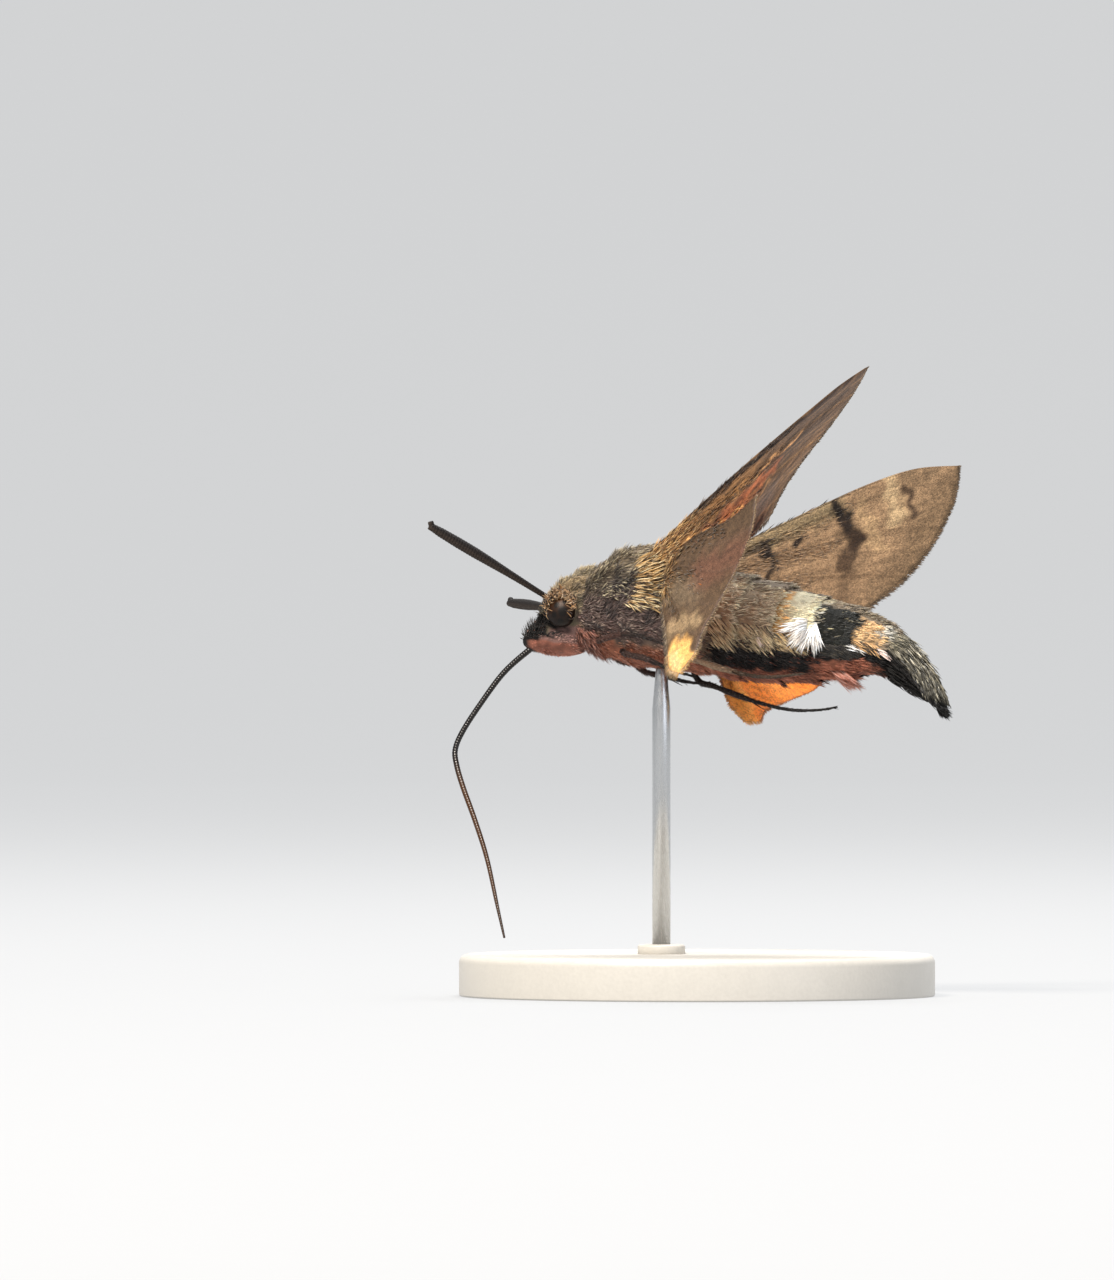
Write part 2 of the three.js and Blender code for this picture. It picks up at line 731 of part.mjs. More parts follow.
// Thorax and the rings of the hind body
const behindNeck = blockAt(NECK.x, -1, NECK.z, NECK.lean);
place("thorax", trunk.intersect(behindNeck).intersect(blockAt(WAIST_X, 1)), materials.coat);
[WAIST_X, ...SEGMENT_ENDS].slice(0, -1).forEach((start, i) => {
  const name = "abdomen_" + (i + 1);
  let ring = trunk.intersect(blockAt(start, -1)).intersect(blockAt(SEGMENT_ENDS[i], 1));
  if (TUFT_ROWS[name]) for (const tuft of tuftLocks(TUFT_ROWS[name])) ring = ring.add(tuft);
  place(name, ring, materials.coat);
});
let tail = body(stationsOf(TAIL_CORE, 1), (x) => along(TAIL_CORE, x), TRUNK_SIDES);
for (const made of tailLocks()) tail = tail.add(made);
place("tail_brush", tail.intersect(blockAt(SEGMENT_ENDS.at(-1), -1)), materials.dark);

// Wings
for (const [name, wing] of Object.entries(WINGS)) {
  let made = wingSolid(wing).subtract(trunkGrown);
  const isHindwing = wing.shape === HINDWING;
  if (isHindwing) made = made.subtract(wingSolid(WINGS[name.replace("hind", "fore")], GAP));
  const turned = name.endsWith("right") ? mirrored(made) : made;
  place(name, turned, isHindwing ? materials.hindwing : materials.forewing);
}

// Legs
for (const [name, leg] of Object.entries(LEGS)) {
  place(name, legSolid(leg).subtract(trunkGrown), materials.leg);
}

// Stand
const top = rodTop();
const trunkInPlace = trunkGrown.transform(moth.matrixWorld.toArray());
model.add(meshOf("stand_foot", footSolid(top), materials.foot));
model.add(meshOf("stand_rod", rodSolid(top).subtract(trunkInPlace), materials.rod));
model.add(moth);

export default model;
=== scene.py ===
"""A hummingbird hawk moth in hovering flight, life size, on a plain display stand.

Sizes are millimetres in the moth's own frame: x towards the head, y towards its left side and z
towards its back. Angles round the body are degrees from straight down, positive on the left side.
"""
import logging
from dataclasses import dataclass, fields, replace
from enum import Enum

import bpy
import numpy as np
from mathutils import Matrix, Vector


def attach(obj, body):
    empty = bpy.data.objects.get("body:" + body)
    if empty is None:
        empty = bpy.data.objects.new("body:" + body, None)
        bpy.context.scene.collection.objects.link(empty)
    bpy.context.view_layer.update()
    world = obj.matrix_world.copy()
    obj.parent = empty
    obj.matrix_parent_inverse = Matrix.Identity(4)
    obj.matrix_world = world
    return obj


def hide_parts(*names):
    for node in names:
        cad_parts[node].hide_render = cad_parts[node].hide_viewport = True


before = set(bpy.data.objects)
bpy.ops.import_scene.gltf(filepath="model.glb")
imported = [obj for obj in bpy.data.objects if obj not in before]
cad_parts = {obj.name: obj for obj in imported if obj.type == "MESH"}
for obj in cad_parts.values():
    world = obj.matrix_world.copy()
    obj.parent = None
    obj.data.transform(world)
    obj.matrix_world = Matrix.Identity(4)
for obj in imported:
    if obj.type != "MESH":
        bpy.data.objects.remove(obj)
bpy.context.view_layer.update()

log = logging.getLogger("hawk_moth")
Array = np.ndarray
Rows = tuple[tuple[float, ...], ...]

MM = 0.001
BODY = "root"
FLIP = np.array([1.0, -1.0, 1.0])


class Side(Enum):
    """The moth's two sides, with the sign that y has on each."""

    LEFT = 1.0
    RIGHT = -1.0

    @property
    def label(self) -> str:
        """The side's word in the names of pieces and solids."""
        return self.name.lower()


class Face(Enum):
    """The two faces of a wing, with the sign of their outward direction."""

    UPPER = 1
    UNDER = -1


# Small mathematics

def unit(vectors: Array) -> Array:
    """Vectors scaled to length 1."""
    return vectors / np.maximum(np.linalg.norm(vectors, axis=-1, keepdims=True), 1e-12)


def smooth(low: float, high: float, x: Array) -> Array:
    """A soft step from 0 at low to 1 at high."""
    t = np.clip((x - low) / (high - low), 0.0, 1.0)
    return t * t * (3.0 - 2.0 * t)


def linear(colour: int) -> Array:
    """The linear red, green and blue of a colour written as 0xRRGGBB."""
    c = np.array([(colour >> shift & 255) / 255.0 for shift in (16, 8, 0)])
    return np.where(c <= 0.04045, c / 12.92, ((c + 0.055) / 1.055) ** 2.4)


def blended(tone: Array, colour: int, share: Array | float) -> Array:
    """A linear tone with a share of the colour 0xRRGGBB over it."""
    return tone * (1 - share) + linear(colour) * share


def picked(draw: np.random.Generator, colours: tuple[int, ...], count: int) -> Array:
    """One of a few colours drawn for each tuft, as linear tones."""
    return np.array([linear(c) for c in colours])[draw.integers(0, len(colours), count)]


def profile(values: tuple[float, ...], share: Array) -> Array:
    """Evenly spaced values, read at shares of the way through them."""
    return np.interp(share, np.linspace(0, 1, len(values)), values)


def dot(a: Array, b: Array) -> Array:
    """Row by row dot product, kept as a column."""
    return np.sum(a * b, axis=-1, keepdims=True)


def turned(vectors: Array, axis: Array, degrees: Array | float) -> Array:
    """Vectors turned about an axis.

    Args:
        vectors: vectors square to the axis, one a row.
        axis: unit axes, one a row or a single one.
        degrees: the turn of each row.

    Returns:
        The turned vectors.
    """
    a = np.radians(degrees)
    a = a[..., None] if isinstance(a, np.ndarray) else a
    return vectors * np.cos(a) + np.cross(axis, vectors) * np.sin(a)


@dataclass(frozen=True)
class Waves:
    """Smooth repeatable noise: a few plane waves of about one length, added up."""

    length: float
    seed: int
    count: int = 9

    def at(self, points: Array) -> Array:
        """The noise, about -1.5 to 1.5, at each point.

        Args:
            points: the places, one a row.

        Returns:
            A value for each place.
        """
        draw = np.random.default_rng(self.seed)
        ways = unit(draw.normal(size=(self.count, 3)))
        lengths = self.length * draw.uniform(0.7, 1.6, self.count)
        phases = draw.uniform(0.0, 2.0 * np.pi, self.count)
        angles = points @ (ways * (2.0 * np.pi / lengths)[:, None]).T + phases
        return np.sin(angles).sum(axis=1) / np.sqrt(self.count / 2.0)


@dataclass(frozen=True)
class Attitude:
    """How the moth hangs over its stand: turned, pitched, banked and raised."""

    yaw: float = 159.5
    pitch: float = 7.2
    bank: float = 17.0
    place: tuple[float, float, float] = (-3.0, 1.2, 27.6)

    def matrix(self) -> Array:
        """The rotation from the moth's frame to the stand's.

        Returns:
            A matrix of three rows.
        """
        y, p, b = np.radians([self.yaw, -self.pitch, self.bank])
        about_z = np.array([[np.cos(y), -np.sin(y), 0], [np.sin(y), np.cos(y), 0], [0, 0, 1]])
        about_y = np.array([[np.cos(p), 0, np.sin(p)], [0, 1, 0], [-np.sin(p), 0, np.cos(p)]])
        about_x = np.array([[1, 0, 0], [0, np.cos(b), -np.sin(b)], [0, np.sin(b), np.cos(b)]])
        return about_z @ about_y @ about_x

    def apply(self, points: Array) -> Array:
        """Points of the moth in the stand's frame, still in millimetres."""
        return points @ self.matrix().T + np.array(self.place)


ATTITUDE = Attitude()


# Meshes

def paint(mesh: bpy.types.Mesh, tone: Array) -> None:
    """Gives each point of a mesh its tone, in the attribute that the finishes read.

    Args:
        mesh: the mesh.
        tone: a linear colour for each point, with or without a fourth value.
    """
    colour = tone if tone.shape[1] == 4 else np.column_stack([tone, np.ones(len(tone))])
    layer = mesh.color_attributes.new("Tone", "FLOAT_COLOR", "POINT")
    layer.data.foreach_set("color", colour.astype(np.float32).ravel())


@dataclass
class Shape:
    """Points and faces of one closed mesh, in millimetres."""

    points: Array
    quads: Array
    tris: Array
    tone: Array | None = None
    bake: Array | None = None
    finish_of_quads: Array | None = None

    def object(self, name: str, finishes: list["Finish"], in_flight: bool = True) -> bpy.types.Object:
        """A Blender object of this shape.

        Args:
            name: the piece's name.
            finishes: its finishes, in the order of finish_of_quads.
            in_flight: True where the points are in the moth's own frame.

        Returns:
            The object, linked to the scene.
        """
        points = ATTITUDE.apply(self.points) if in_flight else self.points
        mesh = bpy.data.meshes.new(name)
        mesh.vertices.add(len(points))
        mesh.vertices.foreach_set("co", (points * MM).astype(np.float32).ravel())
        corners = np.concatenate([self.quads.ravel(), self.tris.ravel()]).astype(np.int32)
        quad_starts = np.arange(len(self.quads)) * 4
        tri_starts = len(self.quads) * 4 + np.arange(len(self.tris)) * 3
        mesh.loops.add(len(corners))
        mesh.loops.foreach_set("vertex_index", corners)
        mesh.polygons.add(len(self.quads) + len(self.tris))
        starts = np.concatenate([quad_starts, tri_starts]).astype(np.int32)
        mesh.polygons.foreach_set("loop_start", starts)
        mesh.polygons.foreach_set("use_smooth", np.ones(len(starts), dtype=bool))
        if self.finish_of_quads is not None:
            which = np.concatenate([self.finish_of_quads, np.zeros(len(self.tris))])
            mesh.polygons.foreach_set("material_index", which.astype(np.int32))
        mesh.update(calc_edges=True)
        if self.tone is not None:
            paint(mesh, self.tone)
        if self.bake is not None:
            layer = mesh.uv_layers.new(name="OFBake")
            layer.data.foreach_set("uv", self.bake[corners].astype(np.float32).ravel())
        for finish in finishes:
            mesh.materials.append(finish.material())
        made = bpy.data.objects.new(name, mesh)
        bpy.context.scene.collection.objects.link(made)
        return made

    def on(self, side: Side) -> "Shape":
        """A shape drawn on the left, as it is on one side.

        Args:
            side: the side it belongs to.

        Returns:
            The same shape, or its mirror image with its faces turned to match.
        """
        if side is Side.LEFT:
            return self
        return replace(self, points=self.points * FLIP, quads=self.quads[:, ::-1], tris=self.tris[:, ::-1])


def joined(shapes: list[Shape]) -> Shape:
    """Several shapes as one, with their tones and bake maps where all have them.

    Args:
        shapes: the shapes, in order.

    Returns:
        The one shape.
    """
    starts = np.cumsum([0] + [len(s.points) for s in shapes[:-1]])
    return Shape(
        np.concatenate([s.points for s in shapes]),
        np.concatenate([s.quads + start for s, start in zip(shapes, starts)]),
        np.concatenate([s.tris + start for s, start in zip(shapes, starts)]),
        np.concatenate([s.tone for s in shapes]) if all(s.tone is not None for s in shapes) else None,
        np.concatenate([s.bake for s in shapes]) if all(s.bake is not None for s in shapes) else None,
    )


def lofted(rings: Array, tone: Array | None = None) -> Shape:
    """A closed shape through rings of equal count.

    Args:
        rings: rings, points and coordinates.
        tone: a colour for each point of each ring.

    Returns:
        The shape, with a cap of triangles at each end.
    """
    count, sides = rings.shape[:2]
    ring, side = np.meshgrid(np.arange(count - 1), np.arange(sides), indexing="ij")
    a = (ring * sides + side).ravel()
    b = (ring * sides + (side + 1) % sides).ravel()
    quads = np.column_stack([a, b, b + sides, a + sides])
    j = np.arange(sides)
    first, last = count * sides, count * sides + 1
    base = (count - 1) * sides
    tris = np.concatenate([
        np.column_stack([np.full(sides, first), (j + 1) % sides, j]),
        np.column_stack([np.full(sides, last), base + j, base + (j + 1) % sides]),
    ])
    points = np.concatenate([rings.reshape(-1, 3), rings[[0, -1]].mean(axis=1)])
    if tone is not None:
        tone = np.concatenate([tone.reshape(-1, tone.shape[-1]), tone[[0, -1]].mean(axis=1)])
    return Shape(points, quads, tris, tone)


def lathe(outline: list[tuple[float, float]], at: Array, sides: int) -> Shape:
    """A turned solid.

    Args:
        outline: radius and height, from bottom to top.
        at: where the axis stands on the floor.
        sides: its count of sides.

    Returns:
        The closed solid.
    """
    a = np.linspace(0, 2 * np.pi, sides, endpoint=False)
    ways = np.column_stack([np.cos(a), np.sin(a)])
    return lofted(np.stack([np.column_stack([at[:2] + r * ways, np.full(sides, z)]) for r, z in outline]))


def catmull(points: Array, share: Array) -> Array:
    """A smooth curve through points, at shares of its count of spans.

    Args:
        points: the points it passes, one a row.
        share: places along it, from 0 to 1.

    Returns:
        A point for each share.
    """
    place = np.clip(share, 0.0, 1.0) * (len(points) - 1)
    i = np.minimum(place.astype(int), len(points) - 2)
    t = (place - i)[:, None]
    before = points[np.maximum(i - 1, 0)]
    start, end = points[i], points[i + 1]
    after = points[np.minimum(i + 2, len(points) - 1)]
    v0, v1 = (end - before) / 2.0, (after - start) / 2.0
    cubic = (2 * start - 2 * end + v0 + v1) * t**3
    return cubic + (-3 * start + 3 * end - 2 * v0 - v1) * t**2 + v0 * t + start


def even_curve(points: Array, count: int) -> Array:
    """Points at equal distances on the smooth curve through a few points.

    Args:
        points: the points it passes, one a row.
        count: how many points are wanted.

    Returns:
        The points, one a row.
    """
    fine = catmull(points, np.linspace(0, 1, 40 * len(points)))
    run = np.concatenate([[0], np.cumsum(np.linalg.norm(np.diff(fine, axis=0), axis=1))])
    steps = np.linspace(0, run[-1], count)
    return np.column_stack([np.interp(steps, run, fine[:, k]) for k in range(3)])


def tube_rings(centres: Array, radii: Array, sides: int, flatten: float = 1.0) -> tuple[Array, Array]:
    """Rings of a round or flattened tube along a line of centres.

    Args:
        centres: points along the tube.
        radii: the radius at each point.
        sides: points in each ring.
        flatten: thickness over width.

    Returns:
        The rings, and the outward direction of each of their points.
    """
    ahead = unit(np.gradient(centres, axis=0))
    side = np.empty_like(ahead)
    side[0] = unit(np.cross(ahead[0], [0.13, 0.31, 0.94]))
    for i in range(1, len(ahead)):
        side[i] = unit(side[i - 1] - ahead[i] * np.dot(side[i - 1], ahead[i]))
    over = np.cross(ahead, side)
    a = np.linspace(0, 2 * np.pi, sides, endpoint=False)
    out = side[:, None] * np.cos(a)[None, :, None] + over[:, None] * np.sin(a)[None, :, None] * flatten
    return centres[:, None] + out * radii[:, None, None], out


# Outline of the body

def along(rows: Rows, x: Array) -> Array:
    """Each column of rows at x, on a smooth curve through the rows, as the solids have it.

    Args:
        rows: x and the values there, in order of x.
        x: where the values are wanted.

    Returns:
        A row of values for each x.
    """
    table = np.array(rows)
    falling = table[0, 0] > table[-1, 0]
    keys = -table[:, 0] if falling else table[:, 0]
    q = -x if falling else x
    i = np.clip(np.searchsorted(keys, q, side="right") - 1, 0, len(table) - 2)
    a, b = table[i], table[i + 1]
    before, after = table[np.maximum(i - 1, 0)], table[np.minimum(i + 2, len(table) - 1)]
    span = (b[:, 0] - a[:, 0])[:, None]
    t = np.clip((x - a[:, 0])[:, None] / span, 0.0, 1.0)
    slope_a = (b[:, 1:] - before[:, 1:]) / (b[:, :1] - before[:, :1]) * span
    slope_b = (after[:, 1:] - a[:, 1:]) / (after[:, :1] - a[:, :1]) * span
    ends = a[:, 1:] * (2 * t**3 - 3 * t**2 + 1) + b[:, 1:] * (3 * t**2 - 2 * t**3)
    return ends + slope_a * (t**3 - 2 * t**2 + t) + slope_b * (t**3 - t**2)


@dataclass(frozen=True)
class Outline:
    """An egg-shaped body: x, top, bottom and half width of its sections."""

    rows: Rows
    depth: float = 0.35
    ring_ends: tuple[float, ...] = ()
    ring_step: float = 0.0

    def sections(self, x: Array) -> Array:
        """Middle height, half height and half width of the skin at x.

        Args:
            x: places along the body.

        Returns:
            A row of the three for each x.
        """
        top, bottom, half = along(self.rows, x).T
        step = np.zeros_like(x)
        for front, rear in zip(self.ring_ends, self.ring_ends[1:]):
            share = (front - x) / (front - rear)
            step = np.where((share > 0) & (share <= 1), self.ring_step * (share - 0.5), step)
        inset = step - self.depth
        return np.column_stack([(top + bottom) / 2, (top - bottom) / 2 + inset, half + inset])

    def point(self, x: Array, angle: Array, lift: Array | float = 0.0) -> Array:
        """A point over the skin: x, angle round it in degrees, and height over it.

        Args:
            x: places along the body.
            angle: angles round it.
            lift: heights over the skin.

        Returns:
            The points, one a row.
        """
        middle, high, half = self.sections(x).T
        a = np.radians(angle)
        out = unit(np.column_stack([0 * a, np.sin(a) / half, -np.cos(a) / high]))
        on = np.column_stack([x, half * np.sin(a), middle - high * np.cos(a)])
        return on + out * (lift[:, None] if isinstance(lift, np.ndarray) else lift)

    def frame_at(self, x: Array, angle: Array) -> tuple[Array, Array, Array]:
        """The skin's point, outward normal and tailward lie at x and angle.

        Args:
            x: places along the body.
            angle: angles round it, in degrees.

        Returns:
            The three, each with a row for each place.
        """
        here = self.point(x, angle)
        tail = self.point(x - 0.05, angle) - self.point(x + 0.05, angle)
        round_it = self.point(x, angle + 0.5) - self.point(x, angle - 0.5)
        up = unit(np.cross(round_it, tail))
        up = np.where(dot(up, here - np.column_stack([x, 0 * x, self.sections(x)[:, 0]])) < 0, -up, up)
        lie = unit(tail - up * dot(tail, up))
        return here, up, lie

    def loft(self, x: Array, sides: int) -> Shape:
        """The skin as a closed shape through the stations x.

        Args:
            x: places along the body.
            sides: points in each section.

        Returns:
            The shape.
        """
        angles = np.linspace(-180, 180, sides, endpoint=False)
        rings = np.stack([self.point(np.full(sides, s), angles) for s in x])
        return lofted(rings)


NECK_X, WAIST_X = 4.7, -4.6
RING_ENDS = (WAIST_X, -7.0, -10.0, -12.8, -15.5, -18.0)

TRUNK = Outline(
    (
        (5.6, 1.5, -2.9, 1.8), (4.8, 2.7, -3.5, 2.6), (3.9, 3.4, -3.9, 3.15), (2.2, 4.45, -4.3, 3.75),
        (0.2, 4.75, -4.5, 4.0), (-2.0, 4.5, -4.5, 4.05), (-4.0, 4.0, -4.45, 3.9),
        (-5.2, 3.75, -4.4, 3.8), (-7.0, 3.55, -4.45, 3.85), (-9.4, 3.3, -4.25, 3.95),
        (-12.2, 2.85, -3.95, 3.85), (-14.4, 2.5, -3.45, 3.45), (-16.9, 1.9, -2.8, 2.8),
        (-18.6, 1.1, -2.6, 2.35), (-19.4, 0.45, -2.75, 2.0), (-20.1, -0.4, -2.9, 1.5),
        (-20.6, -1.3, -2.95, 0.7),
    ),
    ring_ends=RING_ENDS,
    ring_step=0.24,
)
HEAD = Outline(
    (
        (3.6, 2.2, -3.3, 2.3), (4.6, 2.55, -3.5, 2.6), (5.6, 2.35, -3.5, 2.7), (6.5, 1.6, -3.35, 2.55),
        (7.3, 0.95, -3.1, 2.15), (7.9, 0.15, -2.85, 1.65), (8.3, -0.65, -2.5, 1.05),
        (8.45, -1.3, -2.1, 0.4),
    ),
    depth=0.25,
)
PALPS = Outline(
    (
        (4.9, -2.6, -4.0, 1.3), (5.7, -2.3, -4.25, 1.7), (6.8, -2.0, -4.4, 1.75),
        (7.8, -1.7, -4.4, 1.55), (8.6, -1.9, -4.3, 1.15), (9.05, -2.6, -4.15, 0.8),
        (9.3, -3.3, -4.0, 0.35),
    ),
    depth=0.15,
)

EYE_AT = (6.15, 1.95, -1.45)
EYE_RADII = (1.15, 0.95, 1.25)


# Markings, which the skin and the coat share

DEGREES_PER_MM = 12.0
SOFT_DEGREES_PER_MM = 14.0
WANDER_ALONG, WANDER_ROUND = Waves(0.9, 5), Waves(0.8, 6)
FINE_MOTTLE, BROAD_MOTTLE = Waves(0.7, 11), Waves(2.3, 12)


@dataclass(frozen=True)
class Mark:
    """A patch of colour between two places along the body and two angles round it."""

    colour: int
    x: tuple[float, float]
    angle: tuple[float, float]
    soft: float = 0.3
    strength: float = 1.0

    def weight(self, x: Array, angle: Array) -> Array:
        """How much of the colour each place takes.

        Args:
            x: places along the body.
            angle: angles round it, from 0 to 180.

        Returns:
            A share from 0 to 1 for each place.
        """
        turn = self.soft * SOFT_DEGREES_PER_MM
        inside = smooth(self.x[0] - self.soft, self.x[0] + self.soft, x)
        inside = inside * (1 - smooth(self.x[1] - self.soft, self.x[1] + self.soft, x))
        low, high = self.angle
        if low > 0:
            inside = inside * smooth(low - turn, low + turn, angle)
        if high < 180:
            inside = inside * (1 - smooth(high - turn, high + turn, angle))
        return inside * self.strength


@dataclass(frozen=True)
class Markings:
    """The colours of one part of the body: a ground and the marks over it."""

    ground: int
    marks: tuple[Mark, ...]
    wander: float = 0.22

    def at(self, points: Array, angle: Array) -> Array:
        """Linear colour at points of the body.

        Args:
            points: places in the moth's frame.
            angle: their angles round the body.

        Returns:
            A red, green and blue for each.
        """
        x = points[:, 0] + self.wander * WANDER_ALONG.at(points)
        a = np.abs(angle) + self.wander * DEGREES_PER_MM * WANDER_ROUND.at(points)
        colour = np.tile(linear(self.ground), (len(x), 1))
        for mark in self.marks:
            colour = blended(colour, mark.colour, mark.weight(x, a)[:, None])
        mottle = 1.0 + 0.12 * FINE_MOTTLE.at(points) + 0.10 * BROAD_MOTTLE.at(points)
        return colour * np.clip(mottle, 0.55, 1.5)[:, None]


TRUNK_MARKS = Markings(
    0x8C7C68,
    (
        Mark(0x75664F, (1.5, 6.0), (100, 180), 0.8, 0.8),
        Mark(0x453A30, (2.2, 5.4), (74, 118), 0.5, 0.7),
        # near-black painted shade in the hollow between the collar and the wing root
        Mark(0x1E161C, (1.1, 2.6), (82, 108), 0.35, 0.85),
        # purple-brown painted shade over the lower side of the thorax
        Mark(0x574440, (-4.6, 5.0), (36, 86), 0.6, 0.95),
        # salmon: a painted reflection of warm reddish light from below over the breast's own pale buff
        Mark(0xA8684E, (-5.0, 6.0), (0, 34), 0.4),
        Mark(0xC0AC8E, (-10.2, -4.4), (62, 134), 0.6, 0.85),
        Mark(0xE4DABA, (-7.22, -6.92), (70, 150), 0.06, 0.8),
        Mark(0xE8DFBE, (-10.24, -9.94), (68, 140), 0.06, 0.9),
        Mark(0xDFA966, (-12.9, -10.2), (74, 150), 0.25),
        Mark(0xFBF0CC, (-12.9, -11.0), (80, 156), 0.35),
        Mark(0xF8F2DC, (-13.04, -12.84), (76, 146), 0.06, 0.95),
        Mark(0x14160F, (-15.95, -13.05), (40, 132), 0.2),
        Mark(0x9C8A70, (-15.9, -13.0), (138, 180), 0.4, 0.8),
        Mark(0xE6BC88, (-17.6, -16.05), (70, 130), 0.2),
        Mark(0x66573F, (-17.6, -15.8), (134, 180), 0.3, 0.8),
        Mark(0xD2CEC2, (-18.7, -17.6), (98, 140), 0.2, 0.9),
        Mark(0x787260, (-22.0, -18.5), (60, 180), 0.3),
        # near-black painted shade along the underside of the hind body
        Mark(0x120D0C, (-22.0, -5.4), (0, 62), 0.35),
        # salmon-red: a painted reflection of warm reddish light from below on the belly's own pale buff
        Mark(0xA8664E, (-12.8, -5.0), (0, 22), 0.3, 0.9),
        Mark(0xC47A5E, (-17.2, -12.8), (0, 38), 0.35, 0.95),
    ),
)
HEAD_MARKS = Markings(
    0x7E725C,
    (
        Mark(0x9A8464, (4.6, 7.4), (92, 132), 0.4, 0.7),
        Mark(0x3A2C2A, (3.8, 4.9), (50, 96), 0.3, 0.85),
        Mark(0x94726C, (4.4, 6.9), (16, 46), 0.25, 0.95),
        Mark(0x120F0D, (5.5, 9.0), (37, 88), 0.22),
        Mark(0x120F0D, (7.2, 9.0), (0, 100), 0.25),
        Mark(0x120F0D, (7.8, 9.0), (0, 180), 0.2),
        Mark(0xA06A5A, (3.0, 6.6), (0, 18), 0.4, 0.9),
    ),
    0.12,
)
PALP_MARKS = Markings(
    0xA47C72,
    (
        Mark(0xB4705A, (4.0, 8.7), (0, 60), 0.3, 0.9),
        Mark(0x94706A, (5.0, 6.8), (76, 110), 0.3, 0.8),
        Mark(0x120F0D, (6.0, 10.0), (74, 180), 0.3),
        Mark(0x120F0D, (7.6, 10.0), (56, 180), 0.25),
        Mark(0x120F0D, (8.6, 10.0), (0, 180), 0.2),
    ),
    0.1,
)


# Tufts of the coat

@dataclass
class Strands:
    """A batch of tufts: where each is rooted, how it lies, its sizes and its colour."""

    root: Array
    up: Array
    lie: Array
    length: Array
    width: Array
    rise: Array
    curl: Array
    bend: Array
    tone: Array
    unwrap: Array

    def kept(self, which: Array) -> "Strands":
        """Only the chosen tufts."""
        return Strands(*(getattr(self, part.name)[which] for part in fields(self)))

    def on(self, side: Side) -> "Strands":
        """Tufts drawn on the left, as they are on one side.

        Args:
            side: the side they belong to.

        Returns:
            The same tufts, or their mirror image.
        """
        if side is Side.LEFT:
            return self
        return replace(self, root=self.root * FLIP, up=self.up * FLIP, lie=self.lie * FLIP)

    @staticmethod
    def together(batches: list["Strands"]) -> "Strands":
        """Several batches as one."""
        names = [part.name for part in fields(Strands)]
        return Strands(*(np.concatenate([getattr(b, name) for b in batches]) for name in names))


BAKE_PATCH = 0.003
ROOT_SUNK = 0.12
TUFT_SHAPE = ((0.0, 0.7), (0.35, 1.0), (0.7, 0.72), (1.0, 0.2))
# painted shade in the coat: tufts darken towards the root, up to this share of their length
LIT_FROM = 0.55
TIP_SHADE = 1.12
FLECK_STRENGTH = 0.65


def tuft_shape(strands: Strands, rings: int = 3, thick: float = 0.38, painted_root_shade: float = 0.45) -> Shape:
    """Closed tapered tufts bent back along their lie, darkened towards the root as painted shade.

    Args:
        strands: the tufts.
        rings: sections of each below its tip.
        thick: thickness over width.
        painted_root_shade: brightness of a tuft at its root.

    Returns:
        One shape with a tone for each point and a bake map.
    """
    n = len(strands.root)
    side = np.cross(strands.up, strands.lie)
    centre = strands.root - strands.up * ROOT_SUNK
    points, painted_shades, local = [], [], []
    shares = np.arange(rings) / rings
    widths = np.interp(shares, *zip(*TUFT_SHAPE))
    for share, wide in zip(shares, widths):
        rise = np.radians(strands.rise - strands.curl * share)[:, None]
        swing = np.radians(strands.bend * share)[:, None]
        ahead = strands.lie * np.cos(swing) + side * np.sin(swing)
        across = side * np.cos(swing) - strands.lie * np.sin(swing)
        way = ahead * np.cos(rise) + strands.up * np.sin(rise)
        top = strands.up * np.cos(rise) - ahead * np.sin(rise)
        half = strands.width[:, None] * wide / 2
        points += [centre - across * half, centre + top * half * 2 * thick, centre + across * half]
        painted_shades += [painted_root_shade + (1 - painted_root_shade) * smooth(0.0, LIT_FROM, np.full(n, share))] * 3
        local += [np.tile([k / 2, share], (n, 1)) for k in range(3)]
        centre = centre + way * (strands.length[:, None] / rings)
    points.append(centre)
    painted_shades.append(np.full(n, TIP_SHADE))
    local.append(np.tile([0.5, 1.0], (n, 1)))
    each = 3 * rings + 1
    place = np.stack(points, axis=1).reshape(-1, 3)
    grade = np.stack([corner[:, 1] for corner in local], axis=1).reshape(-1, 1)
    tone = np.stack([strands.tone * s[:, None] for s in painted_shades], axis=1).reshape(-1, 3)
    bake = np.stack([strands.unwrap + (corner - 0.5) * BAKE_PATCH for corner in local], axis=1).reshape(-1, 2)
    quads, tris = [], [[0, 1, 2]]
    for k in range(rings - 1):
        for j in range(3):
            a, b = 3 * k + j, 3 * k + (j + 1) % 3
            quads.append([a, a + 3, b + 3, b])
    for j in range(3):
        tris.append([3 * (rings - 1) + j, each - 1, 3 * (rings - 1) + (j + 1) % 3])
    starts = (np.arange(n) * each)[:, None, None]
    return Shape(
        place,
        (np.array(quads)[None] + starts).reshape(-1, 4),
        (np.array(tris)[None] + starts).reshape(-1, 3),
        np.column_stack([np.clip(tone, 0, 1), grade]),
        bake,
    )


